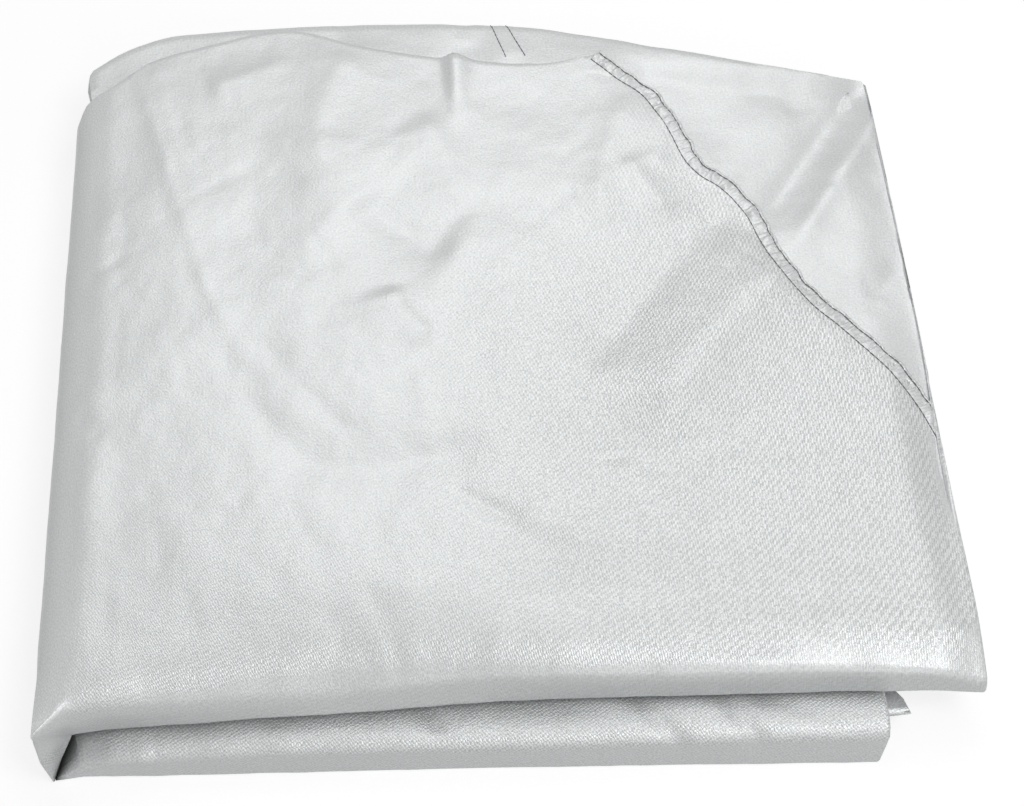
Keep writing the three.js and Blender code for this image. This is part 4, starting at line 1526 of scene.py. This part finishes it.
def finish_piece(mesh, material):
    """Adds the mesh as a piece of the cover, in place, and returns its object."""
    piece = bpy.data.objects.new(mesh.name, mesh)
    bpy.context.scene.collection.objects.link(piece)
    mesh.materials.append(material)
    bpy.ops.object.select_all(action="DESELECT")
    bpy.context.view_layer.objects.active = piece
    piece.select_set(True)
    return piece


def apply_modifiers(piece):
    for modifier in list(piece.modifiers):
        bpy.ops.object.modifier_apply(modifier=modifier.name)


def ride(piece):
    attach(piece, BODY)


FOLD_ANGLE = math.radians(32)  # sharper folds than this have a crisp edge


class COVER_OT_sheet(bpy.types.Operator):
    """Make the folded sheet of silver cloth"""

    bl_idname = "roof_cover.sheet"
    bl_label = "Folded sheet"

    def execute(self, context):
        piece = finish_piece(sheet_mesh(SHEET), shared_material(silver_cloth))
        solid = piece.modifiers.new("thickness", "SOLIDIFY")
        solid.thickness = sizes().cloth_thickness
        solid.offset = 0
        apply_modifiers(piece)
        bpy.ops.object.shade_smooth_by_angle(angle=FOLD_ANGLE)
        ride(piece)
        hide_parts(CAD_NODE)
        return {"FINISHED"}


class COVER_OT_hem(bpy.types.Operator):
    """Make the turned hem with its puckers"""

    bl_idname = "roof_cover.hem"
    bl_label = "Hem"

    def execute(self, context):
        piece = finish_piece(hem_mesh(HEM), shared_material(silver_cloth))
        bpy.ops.object.shade_smooth()
        ride(piece)
        return {"FINISHED"}


class COVER_OT_stitches(bpy.types.Operator):
    """Sew the hem's two rows of stitches and the seam's"""

    bl_idname = "roof_cover.stitches"
    bl_label = "Stitches"

    def execute(self, context):
        for name, rows in ((HEM_THREAD, hem_rows()), (SEAM_THREAD, seam_rows())):
            piece = finish_piece(stitch_mesh(name, rows), shared_material(grey_thread))
            bpy.ops.object.shade_smooth()
            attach(piece, BODY)
        return {"FINISHED"}


class COVER_OT_stage(bpy.types.Operator):
    """Set up the floor, the light and the camera"""

    bl_idname = "roof_cover.stage"
    bl_label = "Floor, light and camera"

    def execute(self, context):
        bpy.ops.mesh.primitive_plane_add(size=FLOOR_SIZE, location=(0, 0, 0))
        floor = context.object
        floor.name = "floor"
        floor.data.materials.append(floor_paper())
        add_lamps()
        add_world()
        add_camera()
        context.scene.view_settings.view_transform = "Standard"
        return {"FINISHED"}


class COVER_PT_panel(bpy.types.Panel):
    """The cover's steps and sizes"""

    bl_idname = "COVER_PT_panel"
    bl_label = "Roof cover"
    bl_space_type = "VIEW_3D"
    bl_region_type = "UI"
    bl_category = "Roof cover"

    def draw(self, context):
        for operator in OPERATORS:
            self.layout.operator(operator.bl_idname)
        settings = context.scene.roof_cover
        for name in settings.__annotations__:
            self.layout.prop(settings, name)


OPERATORS = (COVER_OT_sheet, COVER_OT_hem, COVER_OT_stitches, COVER_OT_stage)
CLASSES = (RoofCoverSettings, *OPERATORS, COVER_PT_panel)


def register():
    for cls in CLASSES:
        bpy.utils.register_class(cls)
    bpy.types.Scene.roof_cover = PointerProperty(type=RoofCoverSettings)


def unregister():
    del bpy.types.Scene.roof_cover
    for cls in reversed(CLASSES):
        bpy.utils.unregister_class(cls)


def main():
    register()
    bpy.ops.object.select_all(action="DESELECT")
    bpy.ops.roof_cover.sheet()
    bpy.ops.roof_cover.hem()
    bpy.ops.roof_cover.stitches()
    bpy.ops.roof_cover.stage()


if __name__ == "__main__":
    main()
